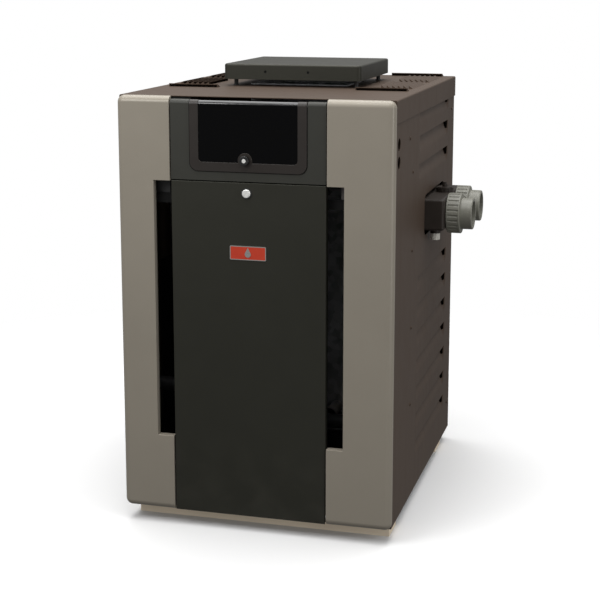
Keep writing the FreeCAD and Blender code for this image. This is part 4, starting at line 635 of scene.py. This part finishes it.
def bolts():
    """Chamfered hexagon bolts with washers through the water header and return header flanges."""
    spots = seats("header_bolts", "x")
    length = spots[0][2].x
    across = spots[0][2].y / 2
    g = Growth("flange_bolt", Shank_Radius=2.9 * MM, Shank_Length=length - 4.5 * MM, Head_Radius=across,
               Head_Height=3.3 * MM, Washer_Thickness=1.0 * MM)
    shank = g.prism(12, g.shank_radius, g.shank_length, 0.0)
    washer = g.prism(20, g.head_radius * 1.06, g.washer_thickness, g.shank_length)
    head = g.prism(6, g.head_radius, g.head_height, g.shank_length + g.washer_thickness)
    crown = g.prism(6, g.head_radius, g.washer_thickness * 0.6,
                    g.shank_length + g.washer_thickness + g.head_height, g.head_radius * 0.86)
    shape = g.together(shank, washer, head, crown)
    return g.grow(g.placed(shape), "flange_bolts", ["header_bolts"], [spot[:2] for spot in spots])


def lock_faces():
    """Bright slotted discs set in the middle of the window latch and the door stud."""
    for joint, node, radius in (("latch_turn", "window_latch", 3.6), ("stud_turn", "door_stud", 6.6)):
        g = Growth(node + "_face", Radius=radius * MM, Height=0.5 * MM, Slot_Width=radius * 0.28 * MM)
        disc = g.prism(32, g.radius, g.height, 0.0, g.radius * 0.94)
        slot = g.block(g.radius * 2.4, g.slot_width, g.height * 1.6, g.vector(z=g.height))
        if node == "door_stud":
            turn = (0.0, 0.0, math.radians(50))
            slot = g.node("GeometryNodeTransform", inputs={"Geometry": slot, "Rotation": turn})
        centre = AXIS_AT[joint]
        spot = (Vector((centre.x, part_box(node)[0].y + 0.05 * MM, centre.z)), Vector((0, -1, 0)))
        g.grow(g.placed(g.cut(disc, slot)), node + "_face", [], [spot], "bright_steel", BODY[node])


def louvre_shade_sheets():
    """Near-black sheets behind the louvres of both sides, above and below the headers: painted shade that
    keeps the inside dark and stops light leaking through.
    """
    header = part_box("water_header")
    for node, inward in (("side_panel_right", -1), ("side_panel_left", 1)):
        low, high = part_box(node)
        depth = 16 * MM
        x = high.x - depth if inward < 0 else low.x + depth
        lower = (low.z + 40 * MM, header[0].z - 40 * MM)
        upper = (header[1].z + 35 * MM, high.z - 20 * MM)
        g = Growth(node + "_shade_sheet", Thickness=0.8 * MM, Width=410 * MM, Lower_Height=lower[1] - lower[0],
                   Upper_Height=upper[1] - upper[0], Upper_Lift=(sum(upper) - sum(lower)) / 2)
        sheet = g.block(g.lower_height, g.width, g.thickness, g.vector())
        shorter = g.block(g.upper_height, g.width, g.thickness, g.vector(x=g.upper_lift * inward))
        spot = (Vector((x, high.y - 258 * MM, sum(lower) / 2)), Vector((-inward, 0, 0)))
        g.grow(g.placed(g.together(sheet, shorter)), node + "_shade_sheet", [], [spot], "inner_paint", BODY[node])


def fin_tubes():
    """Copper exchanger tubes with close-set fins between the two tube sheets."""
    spots = []
    for low, high in solids_of("finned_tubes"):
        middle = (low + high) / 2
        spots.append((Vector((low.x, middle.y, middle.z)), Vector((1, 0, 0))))
    length = high.x - low.x
    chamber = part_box("refractory_panels")
    bare = chamber[0].x - low.x
    g = Growth("finned_tube", Tube_Radius=9.5 * MM, Tube_Bore=8.2 * MM, Tube_Length=length, Bare_Length=bare,
               Fin_Radius=(high.z - low.z) / 2, Fin_Step=5.0 * MM, Fin_Thickness=0.6 * MM)
    wall = (g.tube_radius - g.tube_bore) / 2
    ring = g.node("GeometryNodeCurvePrimitiveCircle", {"mode": "RADIUS"},
                  {"Resolution": 20, "Radius": g.tube_bore + wall})
    section = g.node("GeometryNodeCurvePrimitiveQuadrilateral", {"mode": "RECTANGLE"},
                     {"Width": wall * 2, "Height": g.tube_length})
    tube = g.moved(g.swept(ring, section), g.vector(z=g.tube_length / 2))
    reach = (g.fin_radius - g.tube_radius) / 2
    fin_ring = g.node("GeometryNodeCurvePrimitiveCircle", {"mode": "RADIUS"},
                      {"Resolution": 22, "Radius": g.tube_radius + reach})
    blade = g.node("GeometryNodeCurvePrimitiveQuadrilateral", {"mode": "TRAPEZOID"}, {
        "Bottom Width": reach * 2, "Top Width": reach * 1.7, "Offset": 0.0, "Height": g.fin_thickness})
    fin = g.swept(fin_ring, blade)
    span = g.tube_length - g.bare_length * 2
    count = (span / g.fin_step).math("FLOOR")
    row = g.node("GeometryNodeMeshLine", {"mode": "OFFSET"}, {
        "Count": count, "Start Location": g.vector(z=g.bare_length), "Offset": g.vector(z=g.fin_step)})
    fins = g.node("GeometryNodeInstanceOnPoints", inputs={"Points": row, "Instance": fin})
    return g.grow(g.placed(g.together(tube, fins)), "finned_copper_tubes", ["finned_tubes"], spots)


def pipe_thread():
    """Tapered thread cut on the outer end of the gas pipe."""
    low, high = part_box("gas_inlet_pipe")
    middle = (low + high) / 2
    g = Growth("thread", Pipe_Radius=(high.z - low.z) / 2, Thread_Length=18.0 * MM, Turns=10.0,
               Ridge=0.75 * MM)
    path = g.node("GeometryNodeCurveSpiral", inputs={
        "Resolution": 28, "Rotations": g.turns, "Start Radius": g.pipe_radius - 0.1 * MM,
        "End Radius": g.pipe_radius - 0.1 * MM, "Height": g.thread_length})
    ridge = g.node("GeometryNodeCurvePrimitiveCircle", {"mode": "RADIUS"}, {
        "Resolution": 3, "Radius": g.ridge})
    closed = g.node("GeometryNodeCurveToMesh", inputs={
        "Curve": path, "Profile Curve": ridge, "Fill Caps": True})
    spot = (Vector((low.x + 1.5 * MM, middle.y, middle.z)), Vector((1, 0, 0)))
    return g.grow(g.placed(closed), "gas_pipe_thread", [], [spot], "gas_pipe", BODY["gas_inlet_pipe"])


def key_marks():
    """Raised plain marks on the four keys: two arrows, bars and a tick."""
    def prism(outline):
        bm = bmesh.new()
        rim = [bm.verts.new((x * MM, 0.0, z * MM)) for x, z in outline]
        front = bm.faces.new(rim)
        lifted = bmesh.ops.extrude_face_region(bm, geom=[front])["geom"]
        for corner in lifted:
            if isinstance(corner, bmesh.types.BMVert):
                corner.co.y -= 0.35 * MM
        bmesh.ops.recalc_face_normals(bm, faces=bm.faces)
        return bm

    arrow = [(-3.4, -2.0), (3.4, -2.0), (0.0, 3.4)]
    marks = {"button_up": [arrow], "button_down": [[(x, -z) for x, z in arrow]],
             "button_mode": [[(-3.6, z), (3.6, z), (3.6, z + 0.9), (-3.6, z + 0.9)]
                             for z in (-2.6, -0.45, 1.7)],
             "button_set": [[(-3.2, -0.2), (-2.3, 0.7), (-0.8, -0.9), (2.7, 2.6), (3.6, 1.7), (-0.8, -2.7)]]}
    for node, outlines in marks.items():
        low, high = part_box(node)
        merged = bmesh.new()
        for outline in outlines:
            part = prism(outline)
            part_mesh = bpy.data.meshes.new(node + "_part")
            part.to_mesh(part_mesh)
            part.free()
            merged.from_mesh(part_mesh)
        place = Vector(((low.x + high.x) / 2, low.y + 0.1 * MM, (low.z + high.z) / 2))
        merged.transform(Matrix.Translation(place))
        mesh = bpy.data.meshes.new(node + "_mark")
        merged.to_mesh(mesh)
        merged.free()
        piece = bpy.data.objects.new(node + "_mark", mesh)
        bpy.context.scene.collection.objects.link(piece)
        mesh.materials.append(FINISH["white_plastic"])
        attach(piece, BODY[node])


screws()
recessed_screws()
bolts()
lock_faces()
louvre_shade_sheets()
fin_tubes()
pipe_thread()
key_marks()


# ---------------------------------------------------------------- studio
def floor():
    """Pale paper sweep that fades into the white surround."""
    mesh = bpy.data.meshes.new("floor")
    mesh.from_pydata([(-3, -3, 0), (3, -3, 0), (3, 3, 0), (-3, 3, 0)], [], [(0, 1, 2, 3)])
    thing = bpy.data.objects.new("floor", mesh)
    bpy.context.scene.collection.objects.link(thing)
    s = Shader("floor_paper")
    cloud = s.noise(1.5, 3.0)
    base = s.blend(cloud, (0.80, 0.80, 0.80), (0.82, 0.82, 0.82))
    paper = s.node("ShaderNodeBsdfPrincipled", inputs={
        "Base Color": base, "Roughness": cloud * 0.05 + 0.75,
        "Normal": s.bump(s.noise(300.0, 2.0), 0.05, 0.1)})
    away = (s.x * s.x + s.y * s.y).math("SQRT").ramp(0.75, 1.6)
    clear = s.node("ShaderNodeBsdfTransparent")
    s.node_output(s.node("ShaderNodeMixShader", inputs=[away, paper, clear]))
    mesh.materials.append(s.material)
    thing.visible_diffuse = False
    thing.visible_glossy = False


def softbox(name, place, target, width, height, watts):
    light = bpy.data.lights.new(name, "AREA")
    light.shape = "RECTANGLE"
    light.size = width
    light.size_y = height
    light.energy = watts
    lamp = bpy.data.objects.new(name, light)
    lamp.location = place
    lamp.rotation_euler = (Vector(target) - Vector(place)).to_track_quat("-Z", "Y").to_euler()
    bpy.context.scene.collection.objects.link(lamp)


def studio():
    """White surround that dims below, a front key, a broad top light and strips for the round edges."""
    world = bpy.data.worlds.new("studio")
    world.use_nodes = True
    tree = world.node_tree
    sky = tree.nodes["Background"]
    sky.inputs["Color"].default_value = (1.0, 1.0, 1.0, 1.0)
    seen = tree.nodes.new("ShaderNodeLightPath")
    place = tree.nodes.new("ShaderNodeTexCoord")
    split = tree.nodes.new("ShaderNodeSeparateXYZ")
    tree.links.new(place.outputs["Generated"], split.inputs[0])
    height = tree.nodes.new("ShaderNodeMapRange")
    level = tree.nodes.new("ShaderNodeMapRange")
    for label, value in {"From Min": -0.5, "From Max": 0.5, "To Min": 0.16, "To Max": 0.52}.items():
        height.inputs[label].default_value = value
    tree.links.new(split.outputs["Z"], height.inputs["Value"])
    tree.links.new(height.outputs["Result"], level.inputs["To Min"])
    level.inputs["To Max"].default_value = 1.0
    tree.links.new(seen.outputs["Is Camera Ray"], level.inputs["Value"])
    tree.links.new(level.outputs["Result"], sky.inputs["Strength"])
    bpy.context.scene.world = world
    bpy.context.scene.view_settings.view_transform = "Standard"
    softbox("key_light", (-0.75, -1.3, 1.35), (-0.1, -0.3, 0.7), 0.6, 0.4, 8.5)
    softbox("top_light", (0.0, 0.2, 3.2), (0.0, 0.0, 0.0), 3.2, 3.2, 125.0)
    softbox("brow_strip", (0.0, -1.3, 2.2), (0.0, -0.3, 0.75), 0.9, 0.12, 8.0)
    softbox("edge_strip", (1.7, -0.75, 0.75), (0.25, -0.3, 0.45), 0.06, 1.5, 8.0)


def camera():
    """Eye a little above the lid, to the right of the front, level enough to show the floor line."""
    lens = bpy.data.cameras.new("eye")
    lens.sensor_width = 36.0
    lens.lens = 84.19
    lens.shift_y = -0.12
    lens.clip_end = 50.0
    eye = bpy.data.objects.new("eye", lens)
    eye.location = (0.6934, -2.5957, 0.9885)
    eye.rotation_euler = (math.radians(90 - 10.17), 0.0, math.radians(15.39))
    bpy.context.scene.collection.objects.link(eye)
    bpy.context.scene.camera = eye


floor()
studio()
camera()
